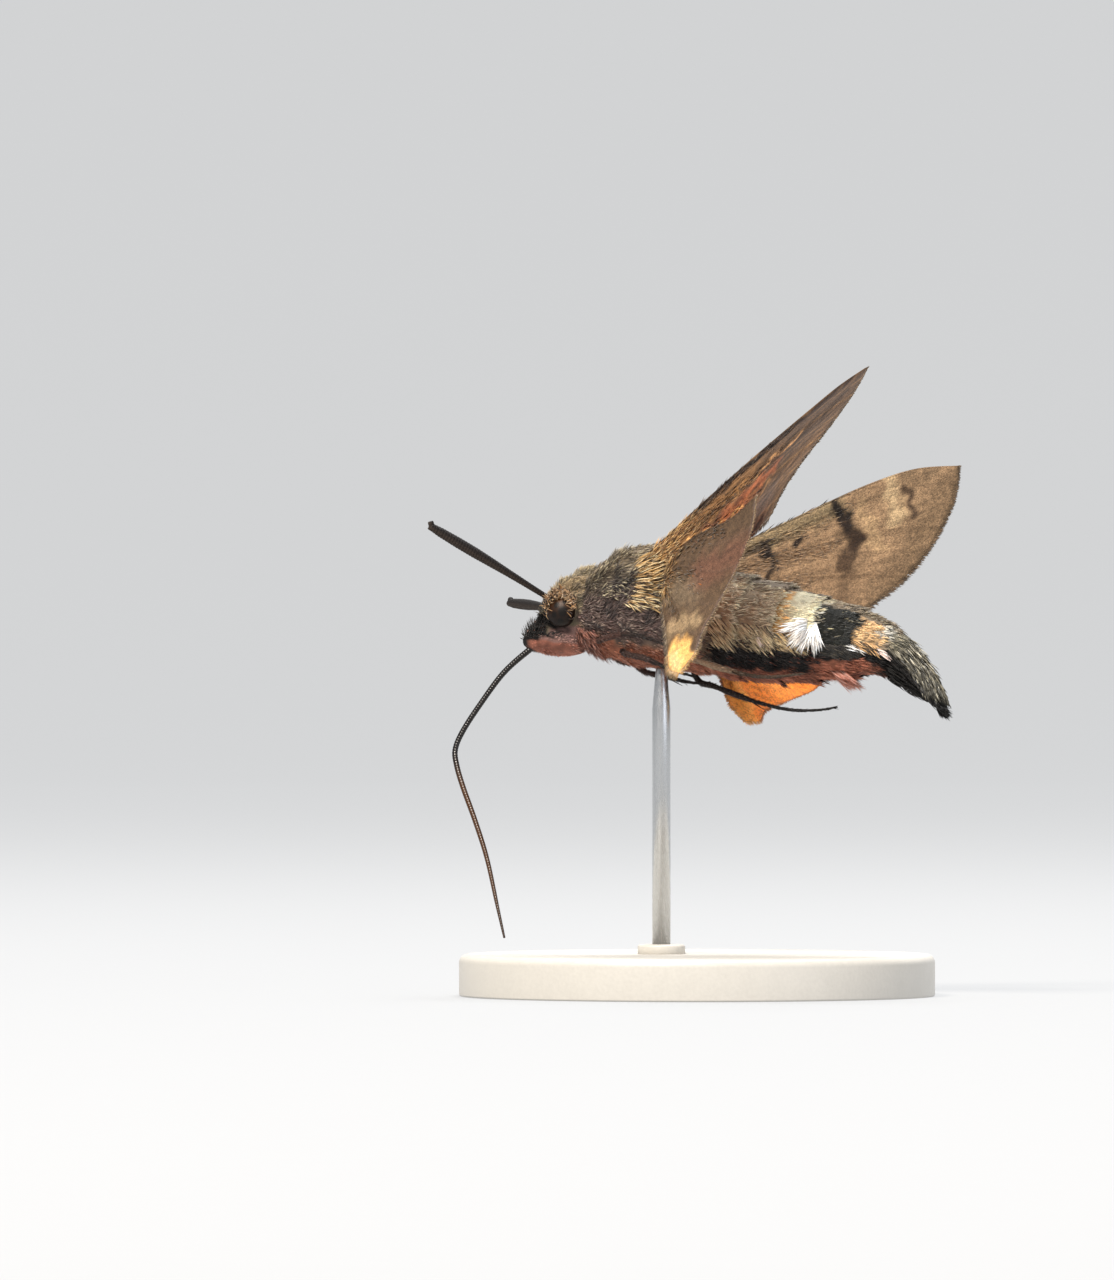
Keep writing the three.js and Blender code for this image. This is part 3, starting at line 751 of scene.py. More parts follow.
@dataclass(frozen=True)
class Coat:
    """How the coat grows over one stretch of the body."""

    name: str
    outline: Outline
    markings: Markings
    x: tuple[float, float]
    angle: tuple[float, float]
    count: int
    length: tuple[float, float]
    width: tuple[float, float]
    rise: float
    curl: float
    seed: int
    side: Side | None = None
    sweep: float = 0.0
    ruffle: float = 12.0
    rings: int = 3
    flecks: tuple[int, float] = (0xD8C9A0, 0.08)
    darks: tuple[int, float] = (0x2B241D, 0.12)

    def strands(self) -> Strands:
        """The tufts, spread evenly over the stretch with a seeded draw.

        Returns:
            The tufts.
        """
        draw = np.random.default_rng(self.seed)
        tries = self.count * 3
        x = draw.uniform(*self.x, tries)
        angle = draw.uniform(*self.angle, tries)
        angle = angle * (self.side.value if self.side else draw.choice([-1.0, 1.0], tries))
        _, high, half = self.outline.sections(x).T
        reach = np.hypot(half * np.cos(np.radians(angle)), high * np.sin(np.radians(angle)))
        kept = np.flatnonzero(draw.uniform(0, 1, tries) < reach / reach.max())[: self.count]
        x, angle = x[kept], angle[kept]
        root, up, lie = self.outline.frame_at(x, angle)
        n = len(x)
        clump = Waves(0.9, self.seed + 1).at(root)
        wave = Waves(1.7, self.seed + 2).at(root)
        turn = np.sign(angle) * self.sweep + self.ruffle * clump + draw.normal(0, self.ruffle * 0.6, n)
        tone = self.markings.at(root, angle) * draw.lognormal(0, 0.16, n)[:, None]
        for (colour, share), patch in ((self.flecks, wave), (self.darks, clump)):
            chosen = draw.uniform(0, 1, n) < share * (1 + 0.8 * patch)
            tone[chosen] = blended(tone[chosen], colour, FLECK_STRENGTH)
        near, far = self.x
        unwrap = np.column_stack([0.01 + 0.98 * (x - near) / (far - near), (angle + 180) / 360])
        return Strands(
            root, up, turned(lie, up, turn),
            draw.uniform(*self.length, n) * (1 + 0.15 * clump),
            draw.uniform(*self.width, n),
            self.rise * (1 + 0.35 * wave) + draw.normal(0, 5, n),
            np.full(n, self.curl) + draw.normal(0, 6, n),
            draw.normal(0, 8, n),
            tone, unwrap,
        )


# Shaders

class Nodes:
    """Places nodes in a tree and links them."""

    def __init__(self, tree: bpy.types.NodeTree) -> None:
        """Starts on an empty tree."""
        self.tree = tree
        tree.nodes.clear()

    def add(self, kind: str, inputs: dict | None = None, **settings: object) -> bpy.types.Node:
        """A node of a kind.

        Args:
            kind: Blender's name of the node, without its ShaderNode prefix.
            inputs: values or sockets for its inputs, by name or place.
            settings: its other settings.

        Returns:
            The node.
        """
        prefix = "" if kind.startswith("NodeGroup") else "ShaderNode"
        node = self.tree.nodes.new(prefix + kind)
        for name, value in settings.items():
            setattr(node, name, value)
        return self.fill(node, inputs or {})

    def fill(self, node: bpy.types.Node, inputs: dict) -> bpy.types.Node:
        """Sets or links the inputs of a node.

        Args:
            node: the node.
            inputs: values or sockets, by the name or place of the input.

        Returns:
            The node.
        """
        for key, value in inputs.items():
            if isinstance(value, bpy.types.NodeSocket):
                self.tree.links.new(value, node.inputs[key])
            else:
                node.inputs[key].default_value = value
        return node

    def shared(self, tree: bpy.types.NodeTree, inputs: dict) -> bpy.types.Node:
        """A shared group, placed in this material with its own values.

        Args:
            tree: the group's tree.
            inputs: values or sockets for its named sockets.

        Returns:
            The group's node.
        """
        node = self.tree.nodes.new("ShaderNodeGroup")
        node.node_tree = tree
        return self.fill(node, inputs)

    def math(self, operation: str, *values: object) -> bpy.types.NodeSocket:
        """The result of a Math node."""
        return self.add("Math", dict(enumerate(values)), operation=operation).outputs[0]

    def ramp(self, value: object, low: float, high: float, start: float = 0.0, end: float = 1.0) -> object:
        """A soft range from one pair of values to another."""
        inputs = {0: value, 1: low, 2: high, 3: start, 4: end}
        return self.add("MapRange", inputs, interpolation_type="SMOOTHSTEP").outputs[0]


def rgba(colour: int) -> tuple[float, float, float, float]:
    """A colour written as 0xRRGGBB, for a shader socket."""
    return (*linear(colour), 1.0)


def group(name: str, inputs: dict[str, tuple[str, object]], outputs: dict[str, str]) -> tuple:
    """A new node group, or the one made before.

    Args:
        name: the group's name.
        inputs: socket type and first value of each input.
        outputs: socket type of each output.

    Returns:
        The tree, and a node builder with its input and output nodes, or None if it was made before.
    """
    found = bpy.data.node_groups.get(name)
    if found:
        return found, None, None, None
    tree = bpy.data.node_groups.new(name, "ShaderNodeTree")
    for label, (kind, value) in inputs.items():
        socket = tree.interface.new_socket(label, in_out="INPUT", socket_type="NodeSocket" + kind)
        socket.default_value = value
    for label, kind in outputs.items():
        tree.interface.new_socket(label, in_out="OUTPUT", socket_type="NodeSocket" + kind)
    nodes = Nodes(tree)
    return tree, nodes, nodes.add("NodeGroupInput"), nodes.add("NodeGroupOutput")


def mottle_group() -> bpy.types.NodeTree:
    """Uneven colour and a fine height, as on dry scales and lacquer.

    Returns:
        The group.
    """
    tree, nodes, given, made = group(
        "fine mottle",
        {
            "Colour": ("Color", (0.5, 0.5, 0.5, 1.0)),
            "Grains per metre": ("Float", 9000.0),
            "Strength": ("Float", 0.3),
        },
        {"Colour": "Color", "Height": "Float"},
    )
    if nodes:
        place = nodes.add("TexCoord").outputs["Object"]
        fine = {"Vector": place, "Scale": given.outputs["Grains per metre"], "Detail": 3.0}
        grain = nodes.add("TexNoise", fine).outputs[0]
        broad_scale = nodes.math("MULTIPLY", given.outputs["Grains per metre"], 0.17)
        broad = nodes.add("TexNoise", {"Vector": place, "Scale": broad_scale, "Detail": 2.0}).outputs[0]
        both = nodes.math("ADD", nodes.math("MULTIPLY", grain, 0.65), nodes.math("MULTIPLY", broad, 0.35))
        swing = nodes.math("MULTIPLY", nodes.math("SUBTRACT", both, 0.5), given.outputs["Strength"])
        gain = nodes.math("ADD", nodes.math("MULTIPLY", swing, 4.0), 1.0)
        scaled = nodes.add("VectorMath", {0: given.outputs["Colour"]}, operation="SCALE")
        tree.links.new(gain, scaled.inputs["Scale"])
        tree.links.new(scaled.outputs[0], made.inputs["Colour"])
        tree.links.new(both, made.inputs["Height"])
    return tree


def scales_group() -> bpy.types.NodeTree:
    """Rows of tiny scales on a wing or a horny surface, as cells drawn out along the surface.

    Returns:
        The group.
    """
    tree, nodes, given, made = group(
        "scale rows",
        {
            "Colour": ("Color", (0.5, 0.5, 0.5, 1.0)),
            "Scales per metre": ("Float", 8000.0),
            "Contrast": ("Float", 0.3),
        },
        {"Colour": "Color", "Height": "Float", "Edge": "Float"},
    )
    if nodes:
        place = nodes.add("TexCoord").outputs["Object"]
        cells = {"Vector": place, "Scale": given.outputs["Scales per metre"], "Randomness": 0.8}
        cell = nodes.add("TexVoronoi", cells, feature="F1")
        shade = nodes.add("SeparateColor", {0: cell.outputs["Color"]}).outputs[0]
        swing = nodes.math("MULTIPLY", nodes.math("SUBTRACT", shade, 0.5), given.outputs["Contrast"])
        gain = nodes.math("ADD", nodes.math("MULTIPLY", swing, 2.0), 1.0)
        scaled = nodes.add("VectorMath", {0: given.outputs["Colour"]}, operation="SCALE")
        tree.links.new(gain, scaled.inputs["Scale"])
        tree.links.new(scaled.outputs[0], made.inputs["Colour"])
        dome = nodes.math("SUBTRACT", 1.0, cell.outputs["Distance"])
        tree.links.new(dome, made.inputs["Height"])
        tree.links.new(nodes.ramp(cell.outputs["Distance"], 0.35, 0.75), made.inputs["Edge"])
    return tree


@dataclass(frozen=True)
class Finish:
    """A surface: its name, its gloss and how its shader is built."""

    name: str
    roughness: float = 0.7

    def shade(self, nodes: Nodes, surface: bpy.types.Node) -> None:
        """Builds the part of the shader that this kind of finish has of its own."""

    def material(self) -> bpy.types.Material:
        """The material, made once.

        Returns:
            The material.
        """
        found = bpy.data.materials.get(self.name)
        if found:
            return found
        made = bpy.data.materials.new(self.name)
        made.use_nodes = True
        nodes = Nodes(made.node_tree)
        output = nodes.add("OutputMaterial")
        surface = nodes.add("BsdfPrincipled", {"Roughness": self.roughness})
        made.node_tree.links.new(surface.outputs[0], output.inputs["Surface"])
        self.shade(nodes, surface)
        return made

    def bump(self, nodes: Nodes, surface: bpy.types.Node, height: object, depth: float) -> None:
        """Raises the surface by a height, in metres at most."""
        raised = nodes.add("Bump", {"Height": height, "Distance": depth, "Strength": 1.0})
        nodes.tree.links.new(raised.outputs[0], surface.inputs["Normal"])


@dataclass(frozen=True)
class TonedFinish(Finish):
    """A surface coloured by its own markings, with fine mottling and relief."""

    grains: float = 9000.0
    strength: float = 0.25
    depth: float = 0.00003
    sheen: float = 0.0

    def shade(self, nodes: Nodes, surface: bpy.types.Node) -> None:
        """Tone, mottling and relief.

        Args:
            nodes: builds the material's nodes.
            surface: its Principled node.
        """
        tone = nodes.add("Attribute", attribute_name="Tone").outputs["Color"]
        inputs = {"Colour": tone, "Grains per metre": self.grains, "Strength": self.strength}
        mottle = nodes.shared(mottle_group(), inputs)
        nodes.tree.links.new(mottle.outputs["Colour"], surface.inputs["Base Color"])
        surface.inputs["Sheen Weight"].default_value = self.sheen
        surface.inputs["Specular IOR Level"].default_value = 0.3
        rough = nodes.ramp(mottle.outputs["Height"], 0.3, 0.7, self.roughness - 0.1, self.roughness + 0.1)
        nodes.tree.links.new(rough, surface.inputs["Roughness"])
        self.bump(nodes, surface, mottle.outputs["Height"], self.depth)


@dataclass(frozen=True)
class ScaledFinish(Finish):
    """A surface coloured by its own markings and covered with rows of tiny scales."""

    scales: float = 9000.0
    contrast: float = 0.3
    depth: float = 0.00002
    gloss: float = 0.3

    def shade(self, nodes: Nodes, surface: bpy.types.Node) -> None:
        """Tone, scale rows and relief.

        Args:
            nodes: builds the material's nodes.
            surface: its Principled node.
        """
        tone = nodes.add("Attribute", attribute_name="Tone").outputs["Color"]
        inputs = {"Colour": tone, "Scales per metre": self.scales, "Contrast": self.contrast}
        rows = nodes.shared(scales_group(), inputs)
        inputs = {"Colour": rows.outputs["Colour"], "Grains per metre": self.scales * 0.3, "Strength": 0.15}
        mottle = nodes.shared(mottle_group(), inputs)
        nodes.tree.links.new(mottle.outputs["Colour"], surface.inputs["Base Color"])
        surface.inputs["Specular IOR Level"].default_value = self.gloss
        rough = nodes.ramp(rows.outputs["Edge"], 0.0, 1.0, self.roughness, min(self.roughness + 0.2, 1.0))
        nodes.tree.links.new(rough, surface.inputs["Roughness"])
        self.bump(nodes, surface, rows.outputs["Height"], self.depth)


@dataclass(frozen=True)
class EyeFinish(Finish):
    """A compound eye: six-sided facets under a clear gloss."""

    facets: float = 16000.0

    def shade(self, nodes: Nodes, surface: bpy.types.Node) -> None:
        """Tone, facets and gloss.

        Args:
            nodes: builds the material's nodes.
            surface: its Principled node.
        """
        tone = nodes.add("Attribute", attribute_name="Tone").outputs["Color"]
        inputs = {"Colour": tone, "Scales per metre": self.facets, "Contrast": 0.12}
        facets = nodes.shared(scales_group(), inputs)
        nodes.tree.links.new(facets.outputs["Colour"], surface.inputs["Base Color"])
        surface.inputs["Specular IOR Level"].default_value = 0.22
        self.bump(nodes, surface, facets.outputs["Height"], 0.000006)


@dataclass(frozen=True)
class BackdropFinish(Finish):
    """Even matt paper that is lit in part by its own soft glow."""

    colour: int = 0x565656
    glow: int = 0xC6C7C8
    grains: float = 900.0

    def shade(self, nodes: Nodes, surface: bpy.types.Node) -> None:
        """Colour, a steady glow and a trace of tooth.

        Args:
            nodes: builds the material's nodes.
            surface: its Principled node.
        """
        inputs = {"Colour": rgba(self.colour), "Grains per metre": self.grains, "Strength": 0.02}
        mottle = nodes.shared(mottle_group(), inputs)
        nodes.tree.links.new(mottle.outputs["Colour"], surface.inputs["Base Color"])
        surface.inputs["Emission Color"].default_value = rgba(self.glow)
        surface.inputs["Emission Strength"].default_value = 1.0
        self.bump(nodes, surface, mottle.outputs["Height"], 0.00001)


@dataclass(frozen=True)
class StandFinish(Finish):
    """A plain made surface with fine grain and a trace of dust and wear."""

    colour: int = 0xE4E1DA
    metal: float = 0.0
    grains: float = 4000.0
    depth: float = 0.000008
    stretch: tuple[float, float, float] = (1.0, 1.0, 1.0)

    def shade(self, nodes: Nodes, surface: bpy.types.Node) -> None:
        """Colour, grain, wear and relief.

        Args:
            nodes: builds the material's nodes.
            surface: its Principled node.
        """
        inputs = {"Colour": rgba(self.colour), "Grains per metre": self.grains, "Strength": 0.06}
        mottle = nodes.shared(mottle_group(), inputs)
        place = nodes.add("TexCoord").outputs["Object"]
        drawn = nodes.add("Mapping", {"Vector": place, "Scale": self.stretch}).outputs[0]
        lines = nodes.add("TexNoise", {"Vector": drawn, "Scale": self.grains, "Detail": 4.0}).outputs[0]
        nodes.tree.links.new(mottle.outputs["Colour"], surface.inputs["Base Color"])
        surface.inputs["Metallic"].default_value = self.metal
        rough = nodes.ramp(lines, 0.3, 0.7, self.roughness - 0.08, self.roughness + 0.1)
        nodes.tree.links.new(rough, surface.inputs["Roughness"])
        self.bump(nodes, surface, lines, self.depth)


SKIN = TonedFinish("skin_under_coat", 0.85, 14000.0, 0.35, 0.00006)
FUR = TonedFinish("coat_hair", 0.62, 26000.0, 0.2, 0.00001, 0.15)
BRUSH = TonedFinish("tail_brush_scales", 0.55, 22000.0, 0.25, 0.00001)
WING_UPPER = ScaledFinish("wing_upper_scales", 0.6, 11000.0, 0.35, 0.00003)
WING_UNDER = ScaledFinish("wing_under_scales", 0.55, 11000.0, 0.3, 0.00003)
HORN = ScaledFinish("horny_feeler", 0.62, 15000.0, 0.3, 0.00002, 0.2)
TONGUE_HORN = TonedFinish("tongue_horn", 0.28, 9000.0, 0.15, 0.00001)
EYE = EyeFinish("compound_eye", 0.42)
FOOT_PAINT = StandFinish("stand_lacquer", 0.42, 0xBFBBB3)
STEEL = StandFinish("stand_brushed_steel", 0.3, 0xB9BBBD, 1.0, 30000.0, 0.000004, (1.0, 1.0, 0.03))


def settle(piece: bpy.types.Object, slot: str, *nodes: str) -> None:
    """Lets a piece ride on the moth and stand for solids.

    Args:
        piece: the finished object.
        slot: the record's material slot; not used.
        nodes: the solids that it stands for.
    """
    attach(piece, BODY)
    if nodes:
        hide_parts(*nodes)
    faces = sum(len(p.vertices) - 2 for p in piece.data.polygons)
    log.info("%s: %d triangles", piece.name, faces)


# Body

COATS = (
    Coat("coat_head", HEAD, HEAD_MARKS, (4.3, 7.8), (66, 180), 8500, (0.35, 0.75), (0.05, 0.1),
         40, 28, 101, ruffle=18, flecks=(0xD0BC92, 0.16), darks=(0x1E1712, 0.3)),
    Coat("coat_snout", HEAD, HEAD_MARKS, (7.1, 8.44), (40, 180), 1700, (0.3, 0.6), (0.05, 0.09), 44, 26, 111,
         rings=2, flecks=(0x6A5A48, 0.05), darks=(0x0A0807, 0.3)),
    Coat("coat_cheeks", HEAD, HEAD_MARKS, (4.0, 8.2), (0, 66), 4500, (0.22, 0.42), (0.05, 0.09), 20, 16, 102,
         rings=2, flecks=(0xD2ACA4, 0.06), darks=(0x3A2A26, 0.08)),
    Coat("coat_palps", PALPS, PALP_MARKS, (5.0, 9.28), (0, 180), 5500, (0.2, 0.4), (0.05, 0.09), 22, 14, 103,
         rings=2, flecks=(0xD8A898, 0.06), darks=(0x4A302A, 0.05)),
    Coat("coat_thorax_left", TRUNK, TRUNK_MARKS, (-4.8, 4.9), (84, 180), 8500, (0.55, 1.1), (0.06, 0.1),
         24, 24, 104, side=Side.LEFT, sweep=-10, ruffle=22, flecks=(0xDCCDA8, 0.15), darks=(0x1C1612, 0.32)),
    Coat("coat_thorax_right", TRUNK, TRUNK_MARKS, (-4.8, 4.9), (84, 180), 8500, (0.55, 1.1), (0.06, 0.1),
         24, 24, 105, side=Side.RIGHT, sweep=-10, ruffle=22, flecks=(0xDCCDA8, 0.15), darks=(0x1C1612, 0.32)),
    Coat("coat_sides", TRUNK, TRUNK_MARKS, (-4.8, 4.9), (48, 88), 8500, (0.6, 1.15), (0.06, 0.1),
         22, 22, 112, sweep=12, ruffle=20, flecks=(0xAC988A, 0.16), darks=(0x1E1513, 0.34)),
    Coat("coat_breast", TRUNK, TRUNK_MARKS, (-5.2, 5.2), (0, 52), 7500, (0.35, 0.75), (0.06, 0.1),
         18, 16, 106, ruffle=10, rings=2, flecks=(0xCC9A88, 0.1), darks=(0x4A2E26, 0.14)),
    Coat("coat_hind_front", TRUNK, TRUNK_MARKS, (-9.95, -4.4), (58, 180), 8500, (0.5, 0.95), (0.06, 0.11),
         14, 14, 107, ruffle=9, flecks=(0xE6DABA, 0.2), darks=(0x4A3C2C, 0.14)),
    Coat("coat_hind_middle", TRUNK, TRUNK_MARKS, (-14.4, -9.95), (58, 180), 7500, (0.4, 0.8), (0.07, 0.12),
         12, 12, 108, ruffle=8, flecks=(0xE6D8AA, 0.05), darks=(0x4A4030, 0.06)),
    Coat("coat_hind_rear", TRUNK, TRUNK_MARKS, (-19.6, -14.4), (52, 180), 7500, (0.45, 0.9), (0.07, 0.12),
         14, 14, 109, ruffle=9, flecks=(0xB8AC8C, 0.07), darks=(0x1B1814, 0.12)),
    Coat("coat_belly", TRUNK, TRUNK_MARKS, (-20.3, -5.0), (0, 60), 8000, (0.5, 0.95), (0.07, 0.12),
         22, 18, 110, ruffle=8, rings=2, flecks=(0x7A4636, 0.04), darks=(0x0E0C0B, 0.12)),
)


@dataclass(frozen=True)
class Body:
    """Head, thorax, hind body and palps: one skin, and the coat that grows on it."""

    sides: int = 96
    voxel: float = 0.14
    trunk_stations: tuple[float, float, int] = (5.5, -20.55, 260)
    head_stations: tuple[float, float, int] = (3.6, 8.44, 70)
    palp_stations: tuple[float, float, int] = (4.95, 9.25, 60)
    # painted shade: the skin's markings are darkened to this share where the coat shades them
    under_coat: float = 0.5
    eye_rim: float = 0.12
    coats: tuple[Coat, ...] = COATS

    def skin(self) -> None:
        """One closed skin over trunk, head and palps, in its markings."""
        lofts = [
            TRUNK.loft(np.linspace(*self.trunk_stations), self.sides),
            HEAD.loft(np.linspace(*self.head_stations), self.sides),
            PALPS.loft(np.linspace(*self.palp_stations), self.sides // 2),
        ]
        piece = joined(lofts).object("skin", [SKIN], in_flight=False)
        remesh = piece.modifiers.new("one skin", "REMESH")
        remesh.mode = "VOXEL"
        remesh.voxel_size = self.voxel * MM
        relax = piece.modifiers.new("relax", "SMOOTH")
        relax.factor, relax.iterations = 0.5, 3
        bpy.context.view_layer.objects.active = piece
        for modifier in ("one skin", "relax"):
            bpy.ops.object.modifier_apply(modifier=modifier)
        self.dress_skin(piece)
        rings = (f"abdomen_{i}" for i in range(1, len(RING_ENDS)))
        settle(piece, "coat", "head", "thorax", "palp_left", "palp_right", *rings)

    def dress_skin(self, piece: bpy.types.Object) -> None:
        """Paints the markings on the skin, darkened as painted shade under the coat, and puts it in its
        attitude.

        Args:
            piece: the skin, still in the moth's own frame.
        """
        mesh = piece.data
        flat = np.empty(len(mesh.vertices) * 3, np.float32)
        mesh.vertices.foreach_get("co", flat)
        points = flat.reshape(-1, 3).astype(float) / MM
        paint(mesh, np.clip(self.tone_of(points) * self.under_coat, 0, 1))
        mesh.vertices.foreach_set("co", (ATTITUDE.apply(points) * MM).astype(np.float32).ravel())
        mesh.polygons.foreach_set("use_smooth", np.ones(len(mesh.polygons), dtype=bool))
        mesh.update()

    def tone_of(self, points: Array) -> Array:
        """The markings at any point near the skin.

        Args:
            points: places in the moth's frame.

        Returns:
            A red, green and blue for each.
        """
        x = points[:, 0]
        tone = np.zeros((len(points), 3))
        palps = (x > 4.9) & (points[:, 2] < along(HEAD.rows, x)[:, 1] - 0.05) & (x > 5.2)
        palps |= x > 8.45
        head = (x > NECK_X) & ~palps
        for chosen, outline, marks in (
            (palps, PALPS, PALP_MARKS), (head, HEAD, HEAD_MARKS), (~palps & ~head, TRUNK, TRUNK_MARKS),
        ):
            middle, high, half = outline.sections(x[chosen]).T
            angle = np.degrees(np.arctan2(points[chosen, 1] / half, (middle - points[chosen, 2]) / high))
            tone[chosen] = marks.at(points[chosen], angle)
        return tone

    def clear_of_eyes(self, strands: Strands) -> Strands:
        """Leaves out tufts rooted inside an eye or its rim.

        Args:
            strands: the tufts.

        Returns:
            The tufts that stay.
        """
        inside = np.zeros(len(strands.root), dtype=bool)
        radii = np.array(EYE_RADII) + self.eye_rim
        for side in Side:
            centre = np.array(EYE_AT) * [1, side.value, 1]
            inside |= np.linalg.norm((strands.root - centre) / radii, axis=1) < 1
        return strands.kept(~inside)

    def coat(self) -> None:
        """Every stretch of the coat, as a piece of its own."""
        for coat in self.coats:
            strands = coat.strands()
            if coat.outline is HEAD:
                strands = self.clear_of_eyes(strands)
            settle(tuft_shape(strands, coat.rings, painted_root_shade=0.3).object(coat.name, [FUR]), "coat")


# Long tufts: flank fringe, white fan, tail brush

@dataclass(frozen=True)
class Tuft:
    """A fan of long scales from a short stretch of the body."""

    x: tuple[float, float]
    angle: tuple[float, float]
    fan: tuple[float, float]
    count: int
    length: tuple[float, float]
    width: float
    colours: tuple[int, ...]
    rise: float = 14.0
    curl: float = 22.0
    lift: float = 0.1
    spikes: int = 0
    outline: Outline = TRUNK

    def strands(self, seed: int) -> Strands:
        """The scales of both sides, fanned from front to rear.

        Args:
            seed: the seed of the draw.

        Returns:
            The scales.
        """
        draw = np.random.default_rng(seed)
        n = self.count * 2
        share = draw.uniform(0, 1, n)
        if self.spikes:
            middle = (np.floor(share * self.spikes) + 0.5) / self.spikes
            share = middle + draw.normal(0, 0.12 / self.spikes, n)
        side = np.repeat([side.value for side in Side], self.count)
        x = self.x[0] + (self.x[1] - self.x[0]) * share + draw.normal(0, 0.06, n)
        angle = (self.angle[0] + (self.angle[1] - self.angle[0]) * draw.uniform(0, 1, n)) * side
        root, up, lie = self.outline.frame_at(x, angle)
        turn = self.fan[0] + (self.fan[1] - self.fan[0]) * share
        turn = turn + draw.normal(0, 2.5 if self.spikes else 5, n)
        return Strands(
            root + up * self.lift, up, turned(lie, up, -side * turn),
            draw.uniform(*self.length, n), self.width * draw.uniform(0.7, 1.3, n),
            self.rise + draw.normal(0, 4, n), self.curl + draw.normal(0, 6, n), draw.normal(0, 8, n),
            picked(draw, self.colours, n) * draw.lognormal(0, 0.12, n)[:, None],
            np.column_stack([0.05 + 0.9 * share, (angle + 180) / 360]),
        )


@dataclass(frozen=True)
class TuftField:
    """Fans of long scales that make one piece together."""

    name: str
    seed: int
    tufts: tuple[Tuft, ...]

    def build(self) -> None:
        """All the fans, each with its own seed."""
        strands = Strands.together([tuft.strands(self.seed + i) for i, tuft in enumerate(self.tufts)])
        settle(tuft_shape(strands, 4, 0.3, 0.6).object(self.name, [FUR]), "coat")


FRINGE = (0xB49E7C, 0xCDBA94, 0x7C6A52, 0x463A2E, 0xBCA884)
WHITE = (0xF6F2EC, 0xE6DFD8, 0xFFFFFF)
TUFTS = (
    TuftField("flank_fringe", 3010, (
        Tuft((-5.2, -7.2), (58, 84), (28, 40), 420, (0.8, 1.4), 0.09, FRINGE, spikes=16),
        Tuft((-7.2, -10.0), (58, 82), (26, 44), 520, (0.8, 1.4), 0.09, FRINGE, spikes=22),
        Tuft((-10.0, -12.4), (58, 76), (20, 40), 380, (0.7, 1.2), 0.09, (*FRINGE, 0xDAB67A), spikes=18),
        Tuft((-13.2, -16.0), (50, 66), (10, 30), 260, (0.7, 1.2), 0.1, (0x14120F, 0x24201A, 0x3A342A)),
        Tuft((-15.9, -17.5), (62, 78), (10, 30), 160, (0.6, 1.0), 0.08, (0xE3B884, 0xC89A64, 0x4A3A28)),
        Tuft((-8.9, -9.4), (66, 72), (30, 60), 30, (0.8, 1.2), 0.1, (0xE4CFC2, 0xCDB0A0)),
    )),
    TuftField("white_tufts", 3020, (
        Tuft((-12.75, -13.35), (86, 97), (165, 62), 210, (1.4, 2.3), 0.15, WHITE, 15, 24, spikes=9),
        Tuft((-15.4, -16.3), (62, 68), (14, 26), 30, (0.8, 1.3), 0.11, WHITE),
        Tuft((-17.4, -18.6), (62, 70), (6, 30), 50, (0.8, 1.4), 0.11, (0xE2CDC4, 0xC9A79A, 0xEDE4DC)),
    )),
    TuftField("belly_tuft", 3030, (
        Tuft((-14.4, -15.4), (0, 20), (-14, 18), 150, (1.2, 1.7), 0.09, (0xCC8670, 0xE0B0A0, 0x9A5A48),
             46, 20, spikes=5),
    )),
    TuftField("throat_bristles", 3040, (
        Tuft((3.6, 4.6), (4, 30), (-6, 6), 60, (0.5, 0.9), 0.06, (0x4A3A34, 0xA88074, 0x241D1A), 42, 20),
        Tuft((5.3, 3.4), (0, 46), (-8, 8), 300, (0.6, 1.1), 0.08, (0x9A6452, 0xB07C6C, 0x6A463C), 30, 14),
    )),
    TuftField("snout_bristles", 3050, (
        Tuft((7.5, 9.15), (66, 160), (-10, 10), 300, (0.4, 0.8), 0.06, (0x100C0A, 0x0A0807, 0x241C18),
             56, 22, 0.0, outline=PALPS),
        Tuft((6.4, 8.3), (44, 84), (-12, 12), 220, (0.35, 0.7), 0.06, (0x100C0A, 0x0A0807, 0x241C18),
             50, 22, 0.0, outline=HEAD),
    )),
    TuftField("brow_bristles", 3060, (
        Tuft((7.7, 6.5), (84, 112), (-14, 10), 150, (0.4, 0.85), 0.06,
             (0xC09A62, 0xDAB684, 0x7A5A36, 0x2A1C12), 40, 26, 0.0, outline=HEAD),
    )),
)


